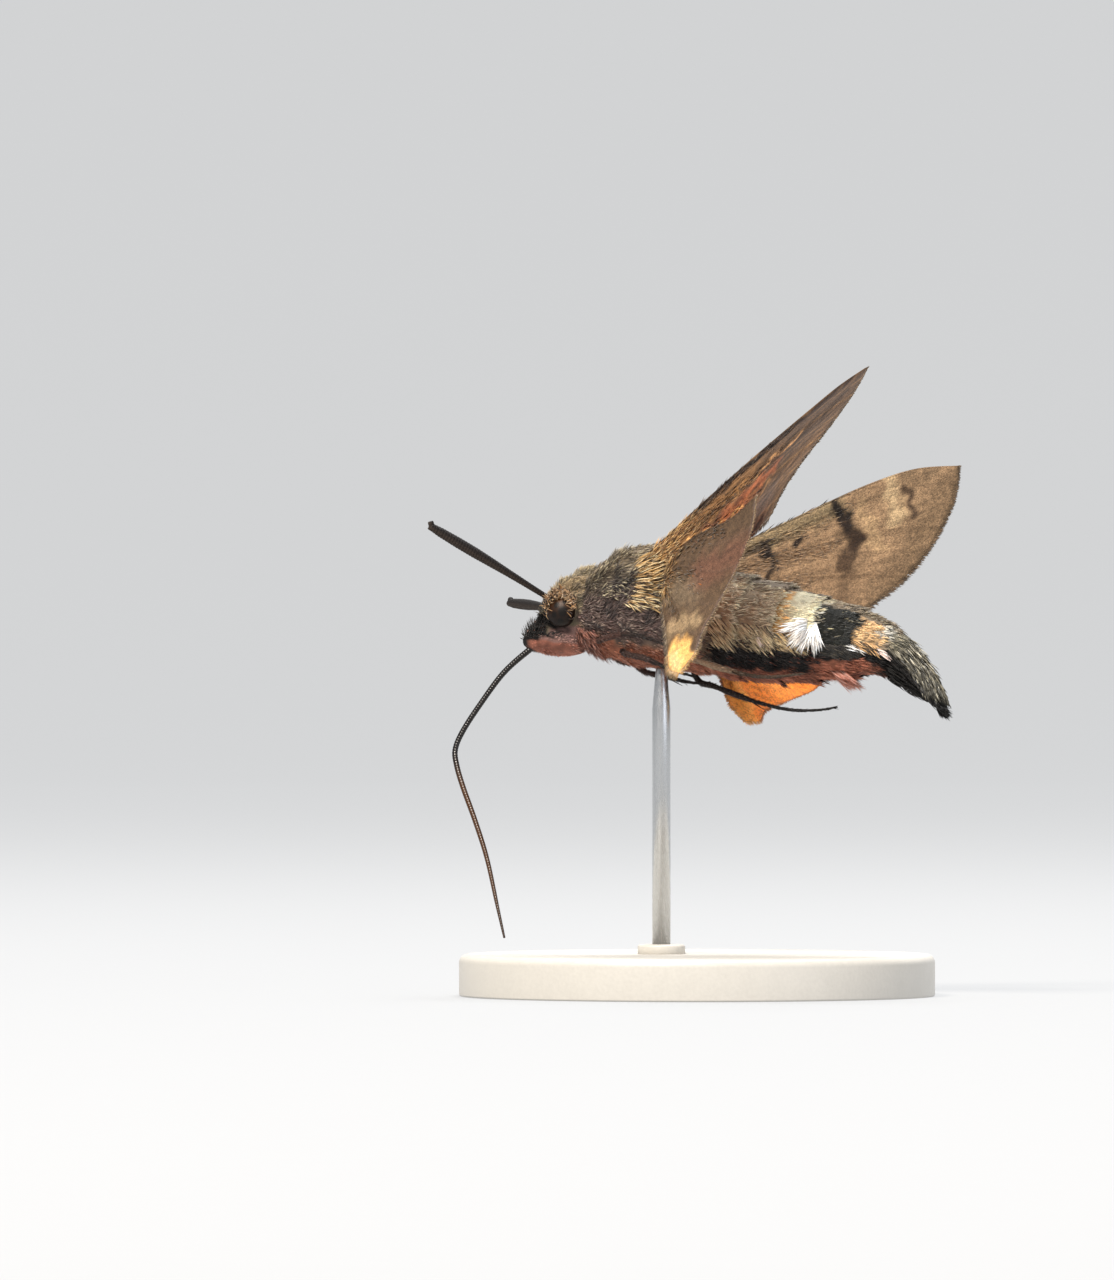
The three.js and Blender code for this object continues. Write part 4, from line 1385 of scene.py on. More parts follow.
@dataclass(frozen=True)
class TailBrush:
    """The fan of long dark scales behind the last ring, in overlapping tiers."""

    start: float = -18.0
    end: float = -23.5
    side_end: float = -22.3
    spread: float = 1.95
    line: Rows = ((0.0, -0.7), (0.36, -1.75), (0.69, -2.95), (1.0, -4.5))
    heights: Rows = ((0.0, 2.05), (0.36, 1.75), (0.69, 1.2), (1.0, 0.3))
    count: int = 3200
    seed: int = 211
    core_rings: int = 40

    def place(self, share: Array, across: Array, level: Array) -> Array:
        """A point of the brush.

        Args:
            share: from its root to its tip.
            across: from -1 at the right edge to 1 at the left.
            level: from -1 on its underside to 1 on top.

        Returns:
            The points.
        """
        middle = along(self.line, share)[:, 0]
        high = np.interp(share, *np.array(self.heights).T)
        arch = np.sqrt(1 - 0.75 * across**2)
        end = self.end + (self.side_end - self.end) * across**2
        return np.column_stack([
            self.start + (end - self.start) * share,
            across * self.spread * (1.05 - 0.05 * share),
            middle + level * high * arch,
        ])

    def strands(self) -> Strands:
        """The scales, rooted over the whole brush and lying along it.

        Returns:
            The scales.
        """
        draw = np.random.default_rng(self.seed)
        n = self.count
        share = draw.uniform(0, 1, n) ** 0.85 * 0.86
        turn = draw.uniform(-np.pi, np.pi, n)
        shell = np.sqrt(draw.uniform(0.45, 1.0, n))
        across, level = np.sin(turn) * shell, np.cos(turn) * shell
        root = self.place(share, across, level)
        ahead = unit(self.place(share + 0.08, across * 1.02, level) - root)
        middle = self.place(share, across * 0.2, level * 0.0)
        up = unit(root - middle)
        up = unit(up - ahead * dot(up, ahead))
        top = smooth(-0.35, 0.3, level - 0.25 * share)[:, None]
        tone = blended(linear(0x110F0D), 0x726C5C, top)
        fleck = draw.uniform(0, 1, n) < 0.2 * top[:, 0]
        tone[fleck] = linear(0xACA592)
        dark = draw.uniform(0, 1, n) < 0.34 + 0.45 * share
        tone[dark] = tone[dark] * 0.3
        return Strands(
            root, up, ahead, draw.uniform(0.9, 1.7, n) * (1 - 0.25 * share), draw.uniform(0.1, 0.2, n),
            draw.normal(7, 5, n), draw.normal(10, 6, n), draw.normal(0, 9, n),
            tone * draw.lognormal(0, 0.2, n)[:, None],
            np.column_stack([0.05 + 0.9 * share, (turn + np.pi) / (2 * np.pi)]),
        )

    def core(self) -> Shape:
        """A slim dark core, so that no light shows through between the scales.

        Returns:
            The closed core.
        """
        n = self.core_rings
        share = np.linspace(0, 0.93, n)
        turn = np.linspace(-np.pi, np.pi, n, endpoint=False)
        thin = 0.82 * (1 - 0.5 * share**3)
        rings = np.stack([
            self.place(np.full(n, s), np.sin(turn) * k, np.cos(turn) * k) for s, k in zip(share, thin)
        ])
        upper = np.clip(0.5 + 0.5 * np.cos(turn), 0, 1)[None, :, None] * np.ones((n, 1, 1))
        return lofted(rings, blended(linear(0x0F0E0C), 0x2A2820, upper))

    def build(self) -> None:
        """The core and its scales."""
        settle(self.core().object("tail_core", [SKIN]), "tail", "tail_brush")
        settle(tuft_shape(self.strands(), 3).object("tail_scales", [BRUSH]), "tail")


# Eyes and feelers

@dataclass(frozen=True)
class Eye:
    """A compound eye in its socket, with the lashes that hang over it."""

    side: Side
    at: tuple[float, float, float] = EYE_AT
    radii: tuple[float, float, float] = EYE_RADII
    look: tuple[float, float, float] = (-0.35, 0.9, -0.25)
    spots: int = 6
    fine: tuple[int, int] = (64, 96)
    pole: float = 0.02
    lash_count: int = 560
    lash_seed: int = 401
    lash_colours: tuple[int, ...] = (
        0xCBA478, 0xDFC3A2, 0x8E6A46, 0x3A281A, 0xD6B894, 0x1E140E, 0xB98A58,
    )

    def ball(self) -> Shape:
        """The eye as a fine ellipsoid with its dark false pupils.

        Returns:
            The closed eye, on its side.
        """
        turns = np.linspace(0, 2 * np.pi, self.fine[1], endpoint=False)
        rings = []
        for fall in np.linspace(self.pole, np.pi - self.pole, self.fine[0]):
            ring = [np.sin(fall) * np.cos(turns), np.cos(fall) + 0 * turns, np.sin(fall) * np.sin(turns)]
            rings.append(np.column_stack(ring))
        ways = np.stack(rings)
        look = unit(np.array(self.look))
        aside = unit(np.cross(look, [0.0, 0.0, 1.0]))
        over = np.cross(aside, look)
        tone = np.tile(linear(0x2A170A), (*ways.shape[:2], 1))
        upper = smooth(-0.2, 0.8, ways[..., 2])[..., None]
        tone = blended(tone, 0x6A4420, 0.5 * upper)
        rim = smooth(0.75, 0.2, ways[..., 1])[..., None]
        low = smooth(0.1, -0.8, ways[..., 2])[..., None]
        tone = blended(tone, 0x0C0705, 0.85 * np.maximum(rim, low))
        centres = [(look, 0.34)]
        for k in range(self.spots):
            a = 2 * np.pi * (k + 0.5) / self.spots
            centres.append((unit(look + 0.72 * (aside * np.cos(a) + over * np.sin(a))), 0.2))
        for centre, size in centres:
            gap = np.arccos(np.clip(ways @ centre, -1, 1))
            spot = (1 - smooth(size * 0.6, size * 1.3, gap))[..., None] * 0.9
            tone = blended(tone, 0x060403, spot)
        return lofted(ways * np.array(self.radii) + np.array(self.at), tone).on(self.side)

    def lashes(self) -> Strands:
        """Amber tufts from the brow, curved down over the eye.

        Returns:
            The lashes, on their side.
        """
        draw = np.random.default_rng(self.lash_seed)
        n = self.lash_count
        a = np.radians(draw.normal(84, 44, n))
        out = draw.uniform(0.12, 0.56, n)
        ring = np.sqrt(1 - out**2)
        way = np.column_stack([np.cos(a) * ring, out, np.sin(a) * ring])
        radii = np.array(self.radii)
        root = np.array(self.at) + way * radii * 1.06
        up = unit(way / radii)
        lie = np.array([0.0, 1.0, 0.0]) - up * up[:, 1:2]
        lie = turned(unit(lie), up, draw.normal(0, 16, n))
        strands = Strands(
            root, up, lie, draw.uniform(0.55, 1.15, n), draw.uniform(0.05, 0.09, n),
            draw.normal(40, 12, n), draw.normal(66, 14, n), draw.normal(0, 22, n),
            picked(draw, self.lash_colours, n),
            np.column_stack([0.5 + 0.4 * np.cos(a), 0.5 + 0.4 * np.sin(a)]),
        )
        return strands.on(self.side)

    def build(self) -> None:
        """The ball and its lashes."""
        side = self.side.label
        settle(self.ball().object("eyeball_" + side, [EYE]), "eye", "eye_" + side)
        settle(tuft_shape(self.lashes(), 5, 0.4, 0.8).object("eyelashes_" + side, [FUR]), "coat")


@dataclass(frozen=True)
class Feeler:
    """A jointed feeler that swells into a club and ends in a small hook."""

    side: Side
    root: tuple[float, float, float] = (7.0, 0.75, -0.75)
    reach: tuple[float, float, float] = (7.45, 8.45, 2.2)
    hook: tuple[float, float, float] = (0.16, 0.22, 0.36)
    radii: tuple[float, ...] = (0.18, 0.2, 0.23, 0.27, 0.33, 0.38, 0.38, 0.34, 0.2)
    joints: int = 52
    rings_per_joint: int = 6
    sides: int = 14
    sag: tuple[float, float, float] = (0.0, 0.0, 0.05)

    def build(self) -> None:
        """The jointed stalk, pale beneath and dark above."""
        root, reach = np.array(self.root), np.array(self.reach)
        tip = root + reach
        middle = root + reach * 0.5 + self.sag
        route = np.stack([root, middle, root + reach * 0.97, tip, tip + np.array(self.hook)])
        count = self.joints * self.rings_per_joint
        share = np.linspace(0, 1, count)
        beat = (share * self.joints) % 1.0
        radii = profile(self.radii, share) * (0.93 + 0.1 * np.sin(np.pi * beat) ** 0.6)
        rings, out = tube_rings(even_curve(route, count), radii, self.sides)
        under = smooth(0.1, -0.7, out[..., 2])[..., None]
        seam = (1 - 0.45 * (1 - np.sin(np.pi * beat)) ** 3)[:, None, None]
        shape = lofted(rings, blended(linear(0x171312), 0x352C26, under) * seam).on(self.side)
        side = self.side.label
        settle(shape.object("feeler_" + side, [HORN]), "feeler", "antenna_" + side)


@dataclass(frozen=True)
class Tongue:
    """The long tongue, bent sharply about half way down."""

    route: Rows = (
        (7.6, -3.1), (8.8, -4.3), (10.25, -6.15), (11.45, -8.65), (12.3, -10.8), (12.55, -12.2),
        (12.2, -13.3), (11.35, -14.85), (9.8, -17.3), (8.3, -19.9), (6.7, -23.3), (5.7, -25.4),
    )
    radii: tuple[float, ...] = (0.24, 0.21, 0.2, 0.2, 0.2, 0.19, 0.17, 0.14, 0.08)
    rings: int = 560
    sides: int = 16
    ribs: int = 130

    def build(self) -> None:
        """One ringed tube with a groove down each side."""
        route = np.array([[x, 0.0, z] for x, z in self.route])
        centres = even_curve(route, self.rings)
        share = np.linspace(0, 1, self.rings)
        radii = profile(self.radii, share) * (1 + 0.035 * np.sin(share * 2 * np.pi * self.ribs))
        rings, out = tube_rings(centres, radii, self.sides)
        side = np.abs(out[..., 1:2])
        groove = 1 - 0.14 * smooth(0.8, 1.0, side)
        rings = centres[:, None] + (rings - centres[:, None]) * groove
        amber = (smooth(0.42, 0.55, share) * (1 - 0.55 * smooth(0.8, 1.0, share)))[:, None, None]
        shape = lofted(rings, blended(linear(0x100D0C), 0x7A4A1C, 0.25 * amber * side))
        nodes = ("proboscis_upper", "proboscis_bend", "proboscis_lower")
        settle(shape.object("tongue", [TONGUE_HORN]), "feeler", *nodes)


# Legs

@dataclass(frozen=True)
class Spur:
    """A thorn on a leg: a spur of the shin, or a claw at the end of the foot."""

    place: float
    length: float
    thick: float
    spread: float
    rings: int = 12
    sides: int = 8

    def shape(self, centres: Array, radii: Array, colour: int) -> Shape:
        """The thorn, curved a little towards the foot.

        Args:
            centres: the leg's middle line.
            radii: its radius at each centre.
            colour: the thorn's colour as 0xRRGGBB.

        Returns:
            One closed tapered shape.
        """
        i = int(self.place * (len(centres) - 1))
        ahead = unit(np.gradient(centres, axis=0))[i]
        across = unit(np.cross(ahead, [0.2, 0.4, 1.0]))
        way = unit(ahead + across * self.spread - np.array([0, 0, 0.15]))
        start = centres[i] + across * np.sign(self.spread) * radii[i] * 0.5
        end = start + (way + ahead * 0.2) * self.length
        line = even_curve(np.stack([start, start + way * self.length * 0.5, end]), self.rings)
        rings, _ = tube_rings(line, self.thick * (1 - np.linspace(0, 0.85, self.rings)), self.sides)
        return lofted(rings, np.tile(linear(colour), (self.rings, self.sides, 1)))


SPURS = (
    Spur(0.52, 1.1, 0.075, 0.35), Spur(0.52, 0.8, 0.065, -0.4),
    Spur(0.985, 0.32, 0.045, 0.6), Spur(0.985, 0.32, 0.045, -0.6),
)


@dataclass(frozen=True)
class Leg:
    """A jointed leg folded back under the body, with its scales, spurs and claws."""

    name: str
    side: Side
    route: Rows
    tones: tuple[int, int]
    seed: int = 556
    scales: int = 700
    radii: tuple[float, ...] = (0.12, 0.2, 0.22, 0.17, 0.22, 0.2, 0.14, 0.13, 0.12, 0.11, 0.09, 0.06)
    turns_dark: tuple[float, float] = (0.45, 0.62)
    foot_joints: int = 13
    rings: int = 150
    sides: int = 14
    spurs: tuple[Spur, ...] = SPURS

    def line(self) -> tuple[Array, Array]:
        """The leg's middle line and its radii, pinched at the joints of the foot.

        Returns:
            A point and a radius for each ring.
        """
        x, angle, lift = np.array(self.route).T
        centres = even_curve(TRUNK.point(x, angle, lift + TRUNK.depth), self.rings)
        share = np.linspace(0, 1, self.rings)
        joint = np.abs(np.sin(share * np.pi * self.foot_joints)) < 0.3
        return centres, profile(self.radii, share) * (1 - 0.16 * smooth(0.55, 0.6, share) * joint)

    def tone(self, share: Array, gain: float = 1.0) -> Array:
        """The leg's colour along it, from the upper leg to the foot.

        Args:
            share: shares of the way along the leg, one a row.
            gain: brightness of the upper leg.

        Returns:
            A linear colour for each share.
        """
        pale, dark = self.tones
        return blended(linear(pale) * gain, dark, smooth(*self.turns_dark, share))

    def scale_strands(self, centres: Array, radii: Array, out: Array) -> Strands:
        """Flat scales over the upper leg and bristles on the foot.

        Args:
            centres: the leg's middle line.
            radii: its radius at each centre.
            out: outward directions of each ring.

        Returns:
            The scales.
        """
        draw = np.random.default_rng(self.seed)
        n = self.scales
        i = (draw.uniform(0.02, 0.97, n) * (self.rings - 1)).astype(int)
        j = draw.integers(0, self.sides, n)
        up = out[i, j]
        ahead = unit(np.gradient(centres, axis=0))[i]
        share = i / (self.rings - 1)
        tone = self.tone(share[:, None], 1.25) * draw.lognormal(0, 0.3, n)[:, None]
        return Strands(
            centres[i] + up * (radii[i] * 0.9)[:, None] + up * ROOT_SUNK * 0.6,
            up, unit(ahead - up * dot(ahead, up)),
            draw.uniform(0.28, 0.6, n) * (1 - 0.4 * share), draw.uniform(0.05, 0.1, n),
            draw.normal(14, 6, n), draw.normal(12, 5, n), draw.normal(0, 10, n), np.clip(tone, 0, 1),
            np.column_stack([0.05 + 0.9 * share, 0.05 + 0.9 * j / self.sides]),
        )

    def build(self) -> None:
        """Shaft with spurs and claws, and the scales over it."""
        centres, radii = self.line()
        rings, out = tube_rings(centres, radii, self.sides)
        share = np.linspace(0, 1, self.rings)[:, None, None]
        shaft = lofted(rings, self.tone(share) * np.ones((1, self.sides, 1)))
        parts = [shaft, *(spur.shape(centres, radii, self.tones[1]) for spur in self.spurs)]
        label = f"{self.name}_{self.side.label}"
        settle(joined(parts).on(self.side).object(label + "_shaft", [HORN]), "leg", label)
        scales = tuft_shape(self.scale_strands(centres, radii, out).on(self.side), 2, 0.4, 0.6)
        settle(scales.object(label + "_scales", [FUR]), "leg")


FORE_LEG = ((3.1, 26, -0.6), (2.4, 42, 0.45), (0.2, 52, 0.45), (-2.6, 48, 0.45))
MID_LEG = ((1.4, 20, -0.6), (0.6, 30, 0.25), (-1.0, 28, 0.3), (-2.8, 18, 0.35), (-4.4, 12, 0.4))
HIND_LEG = (
    (-2.6, 40, -0.6), (-3.9, 42, 0.55), (-6.0, 36, 0.65), (-8.4, 33, 0.9), (-10.4, 31, 1.0),
    (-13.0, 34, 0.75),
)
LOW_HIND_LEG = (
    (-2.6, 38, -0.6), (-3.6, 34, 0.55), (-5.1, 21, 0.6), (-7.1, 8, 0.95), (-9.3, 3, 1.4), (-11.6, 1, 1.9),
    (-13.5, 2, 2.1), (-15.0, 5, 1.85),
)
FRONT_LEGS = (
    ("fore_leg", FORE_LEG, (0x3E2A24, 0x221814), 556),
    ("mid_leg", MID_LEG, (0x34241F, 0x1A1412), 549),
)
LEGS = (
    *(Leg(name, side, route, tones, seed) for side in Side for name, route, tones, seed in FRONT_LEGS),
    Leg("hind_leg", Side.LEFT, HIND_LEG, (0x8A7660, 0x3A2E24), scales=900),
    # the right hind leg hangs under the body, and its darker tones are painted shade
    Leg("hind_leg", Side.RIGHT, LOW_HIND_LEG, (0x241C18, 0x141110), scales=900),
)


# Wings

@dataclass(frozen=True)
class Planform:
    """A wing drawn flat: distance from the root towards the tip, and distance behind that line."""

    front: Rows
    rear: Rows
    outer: Rows
    veins: tuple[float, ...]

    def at(self, u: Array, v: Array) -> Array:
        """The flat place of u, from root to outer edge, and v, from front to rear edge.

        Args:
            u: shares from root to outer edge.
            v: shares from front to rear edge.

        Returns:
            The flat places, one a row.
        """
        front, rear, outer = (np.array(rows, float) for rows in (self.front, self.rear, self.outer))
        v1, u1 = v[:, None], u[:, None]
        spanwise = catmull(front, u) * (1 - v1) + catmull(rear, u) * v1
        root = front[0] * (1 - v1) + rear[0] * v1
        tip = front[-1] * (1 - v1) + rear[-1] * v1
        return spanwise + catmull(outer, v) * u1 + root * (1 - u1) - (root * (1 - u1) + tip * u1)


@dataclass(frozen=True)
class Stroke:
    """A soft stroke of colour over a wing, between two places of its planform."""

    colour: int
    start: tuple[float, float]
    end: tuple[float, float]
    width: float
    soft: float = 0.3
    strength: float = 1.0

    def weight(self, flat: Array) -> Array:
        """How much of the colour each place takes.

        Args:
            flat: places in the planform.

        Returns:
            A share from 0 to 1 for each place.
        """
        a, b = np.array(self.start), np.array(self.end)
        share = np.clip((flat - a) @ (b - a) / np.dot(b - a, b - a), 0, 1)
        gap = np.linalg.norm(flat - a - share[:, None] * (b - a), axis=1)
        return (1 - smooth(self.width / 2 - self.soft, self.width / 2 + self.soft, gap)) * self.strength


@dataclass(frozen=True)
class WingPaint:
    """The colours of one face of a wing."""

    ground: int
    strokes: tuple[Stroke, ...]
    vein: int
    margin: int
    margin_width: float = 0.9
    streak: float = 0.16
    vein_under: float = 0.4
    vein_over: float = 0.16

    def at(self, flat: Array, rim: Array, vein: Array) -> Array:
        """Linear colour over the wing.

        Args:
            flat: places in the planform.
            rim: distance from the outer edge.
            vein: 1 on a vein and 0 between.

        Returns:
            A red, green and blue for each place.
        """
        solid = np.column_stack([flat, 0 * rim])
        warped = flat + 0.16 * np.column_stack([Waves(1.1, 21).at(solid), Waves(1.1, 22).at(solid)])
        tone = np.tile(linear(self.ground), (len(flat), 1))
        edge = (1 - smooth(0.2, self.margin_width, rim + 0.12 * Waves(0.8, 23).at(solid)))[:, None] * 0.85
        tone = blended(tone, self.margin, edge)
        tone = blended(tone, self.vein, self.vein_under * vein[:, None])
        for stroke in self.strokes:
            tone = blended(tone, stroke.colour, stroke.weight(warped)[:, None])
        tone = blended(tone, self.vein, self.vein_over * vein[:, None])
        drawn = solid * np.array([0.12, 1.0, 1.0])
        streaks = 1 + self.streak * Waves(0.32, 24, 14).at(drawn) + 0.07 * Waves(0.5, 25, 12).at(solid)
        return np.clip(tone * np.clip(streaks, 0.5, 1.6)[:, None], 0, 1)


NEAR_BY = 0.004


@dataclass(frozen=True)
class Wing:
    """One wing: a thin membrane over raised veins, with its hair and its fringe."""

    name: str
    side: Side
    form: Planform
    root: tuple[float, float, float]
    tip: tuple[float, float, float]
    hind: tuple[float, float, float]
    twist: float
    reach: float
    upper: WingPaint
    under: WingPaint
    fringe: tuple[int, ...]
    hair: tuple[int, ...]
    hair_count: int = 1500
    fringe_count: int = 1500
    fringe_length: tuple[float, float] = (0.35, 0.6)
    steps: tuple[int, int] = (136, 98)
    half: float = 0.045
    vein_rise: float = 0.085
    vein_width: float = 0.0065
    pleat: float = 0.07
    crossveins: tuple[float, float] = (0.42, 0.43)
    inland: float = 9.0
    fringe_seed: int = 601
    hair_seed: int = 651

    def place(self, flat: Array) -> Array:
        """Where a place of the planform is in the moth's frame, on the left side.

        Args:
            flat: places in the planform.

        Returns:
            The points, one a row.
        """
        root = np.array(self.root)
        span = unit(np.array(self.tip) - root)
        hind = np.array(self.hind)
        hind = unit(hind - span * np.dot(hind, span))
        over = np.cross(span, hind)
        s, t = flat[:, :1], flat[:, 1:]
        turn = np.radians(self.twist) * smooth(0, self.reach, s)
        return root + span * s + hind * t * np.cos(turn) + over * t * np.sin(turn)

    def point(self, u: Array, v: Array) -> Array:
        """Where u and v are in the middle of the membrane, kept within its edges."""
        return self.place(self.form.at(np.clip(u, 0, 1), np.clip(v, 0, 1)))

    def frame_at(self, u: Array, v: Array) -> tuple[Array, Array, Array]:
        """Point, upper normal and direction towards the outer edge at u and v.

        Args:
            u: shares from root to outer edge.
            v: shares from front to rear edge.

        Returns:
            The three, each with a row for each place.
        """
        h = NEAR_BY
        span = unit(self.point(u + h, v) - self.point(u - h, v))
        normal = unit(np.cross(span, self.point(u, v + h) - self.point(u, v - h)))
        return self.point(u, v), normal, span

    def veins_at(self, u: Array, v: Array) -> Array:
        """How near each place is to a vein, with the front edge as the strongest.

        Args:
            u: shares from root to outer edge.
            v: shares from front to rear edge.

        Returns:
            1 on a vein, falling to 0 between.
        """
        ridge = np.zeros_like(v)
        for line in (0.0, *self.form.veins):
            strong = 1.4 if line == 0.0 else 1.0
            ridge = np.maximum(ridge, strong * np.exp(-(((v - line) / self.vein_width) ** 2)))
        at_u, at_v = self.crossveins
        cell = np.exp(-(((u - at_u - 0.25 * (v - at_v) ** 2) / 0.006) ** 2)) * (np.abs(v - at_v) < 0.15)
        return np.maximum(ridge, 0.7 * cell)

    def membrane(self) -> Shape:
        """The membrane with its veins, as one closed shape in two finishes.

        Returns:
            The closed membrane, on the left side.
        """
        rows, columns = self.steps
        lines = np.linspace(0, 1, columns)
        u, v = (g.ravel() for g in np.meshgrid(np.linspace(0, 1, rows), lines, indexing="ij"))
        flat = self.form.at(u, v)
        middle, normal, _ = self.frame_at(u, v)
        ridge = self.veins_at(u, v)
        open_part = smooth(0.0, 0.15, u) * (1 - 0.6 * smooth(0.85, 1.0, u))
        fold = np.sin(np.interp(v, (0.0, *self.form.veins, 1.0), np.arange(len(self.form.veins) + 2)) * np.pi)
        middle = middle + normal * (fold * self.pleat * open_part)[:, None]
        edge = np.minimum.reduce([smooth(1.0, 0.985, u), smooth(1.0, 0.985, v)])
        half = (self.half * (0.35 + 0.65 * edge) + self.vein_rise * ridge * (1 - 0.75 * u))[:, None]
        rim = (1 - u) * np.linalg.norm(np.array(self.form.front[-1])) * 0.9
        rim = np.minimum(rim, (1 - v) * 6.0 + 0.4)
        count = len(u)
        ring = np.arange(rows - 1)[:, None] * columns + np.arange(columns - 1)[None]
        a = ring.ravel()
        top = np.column_stack([a, a + columns, a + columns + 1, a + 1])
        bottom = top[:, ::-1] + count
        ends = [0, (rows - 1) * columns]
        j, i = np.arange(columns - 1), np.arange(rows - 1) * columns
        strips = [
            np.column_stack([ends[0] + j, ends[0] + j + 1, count + ends[0] + j + 1, count + ends[0] + j]),
            np.column_stack([ends[1] + j + 1, ends[1] + j, count + ends[1] + j, count + ends[1] + j + 1]),
            np.column_stack([i + columns, i, count + i, count + i + columns]),
            np.column_stack([i, i + columns, count + i + columns, count + i]) + [columns - 1] * 4,
        ]
        quads = np.concatenate([top, bottom, *strips])
        which = np.concatenate([np.zeros(len(top)), np.ones(len(bottom)), np.ones(sum(map(len, strips)))])
        tone = np.concatenate([self.upper.at(flat, rim, ridge), self.under.at(flat, rim, ridge)])
        points = np.concatenate([middle + normal * half, middle - normal * half])
        return Shape(points, quads, np.zeros((0, 3), int), tone, None, which)

    def fringe_strands(self) -> Strands:
        """Fine scales along the outer and the rear edge.

        Returns:
            The scales, on the left side.
        """
        draw = np.random.default_rng(self.fringe_seed)
        n = self.fringe_count
        share = draw.uniform(0, 1, n)
        outer = draw.uniform(0, 1, n) < 0.55
        u = np.where(outer, 1.0, 0.06 + 0.94 * share)
        v = np.where(outer, share, 1.0)
        root, normal, span = self.frame_at(u, v)
        inner, _, _ = self.frame_at(np.where(outer, u - 0.02, u), np.where(outer, v, v - 0.02))
        out = unit(root - inner)
        lie = unit(out + span * 0.25)
        lie = unit(lie - normal * dot(lie, normal))
        tones = picked(draw, self.fringe, n)
        edge = self.under.at(self.form.at(u, v), np.full(n, self.inland), np.zeros(n))
        tones = tones * 0.5 + edge * 0.5
        low, high = self.fringe_length
        length = (low + (high - low) * draw.uniform(0, 1, n)) * (0.6 + 0.6 * smooth(0.2, 1.0, v))
        return Strands(
            root - lie * 0.12 + normal * ROOT_SUNK, normal, turned(lie, normal, draw.normal(0, 10, n)),
            length, draw.uniform(0.06, 0.11, n), draw.normal(-6, 5, n), draw.normal(-4, 5, n),
            draw.normal(0, 10, n), np.clip(tones * draw.lognormal(0, 0.15, n)[:, None], 0, 1),
            np.column_stack([0.02 + 0.96 * u, 0.02 + 0.96 * v]),
        )

    def hair_strands(self, face: Face) -> Strands:
        """Long scales that lie outwards along the wing from its root.

        Args:
            face: the face that they lie on.

        Returns:
            The scales.
        """
        draw = np.random.default_rng(self.hair_seed + face.value)
        n = self.hair_count
        u = 0.015 + 0.6 * draw.uniform(0, 1, n) ** 1.4
        v = draw.uniform(0.0, 1.0, n) ** 1.15 * 0.93
        root, normal, span = self.frame_at(u, v)
        flat = self.form.at(u, v)
        colours = self.upper if face is Face.UPPER else self.under
        tone = colours.at(flat, np.full(n, self.inland), np.zeros(n))
        tan = (1 - smooth(0.05, 0.3, u))[:, None] * 0.8
        tones = picked(draw, self.hair, n)
        tone = (tone * (1 - tan) + tones * tan) * draw.lognormal(0, 0.25, n)[:, None]
        up = normal * face.value
        return Strands(
            root + up * (ROOT_SUNK * 0.75 + self.half), up, turned(span, up, draw.normal(0, 9, n)),
            draw.uniform(0.5, 0.9, n) * (1.5 - 1.2 * u), draw.uniform(0.05, 0.1, n),
            draw.normal(9, 4, n) * (1.6 - u), draw.normal(14, 5, n), draw.normal(0, 9, n),
            np.clip(tone, 0, 1), np.column_stack([0.02 + 0.96 * u, 0.02 + 0.96 * v]),
        )

    def build(self) -> None:
        """Membrane, hair and fringe."""
        label = f"{self.name}_{self.side.label}"
        membrane = self.membrane().on(self.side)
        strands = Strands.together([self.fringe_strands(), *(self.hair_strands(face) for face in Face)])
        settle(membrane.object(label + "_membrane", [WING_UPPER, WING_UNDER]), self.name, label)
        settle(tuft_shape(strands.on(self.side), 2, 0.3, 0.75).object(label + "_scales", [FUR]), self.name)


FOREWING = Planform(
    ((0, -0.4), (4, -0.55), (8, -0.75), (12, -1.0), (16, -1.15), (19.5, -0.9), (22.6, 0.1)),
    ((0, 1.0), (3, 2.6), (6, 4.2), (9, 5.9), (12.3, 7.6)),
    ((22.6, 0.1), (21.5, 2.3), (19.3, 4.5), (16.2, 6.4), (12.3, 7.6)),
    (0.14, 0.28, 0.43, 0.58, 0.74, 0.89),
)
HINDWING = Planform(
    ((0, -0.1), (3.2, -0.6), (6.0, 0.0), (8.2, 0.7), (10.3, 1.0), (12.2, 1.0)),
    ((0, 1.0), (-0.2, 2.8), (0, 4.8), (0.1, 6.8), (0.2, 8.4), (1.3, 9.5)),
    ((12.2, 1.0), (10.8, 2.7), (8.4, 4.3), (6.0, 5.9), (4.1, 7.3), (3.0, 8.7), (1.3, 9.5)),
    (0.16, 0.34, 0.52, 0.7, 0.86),
)
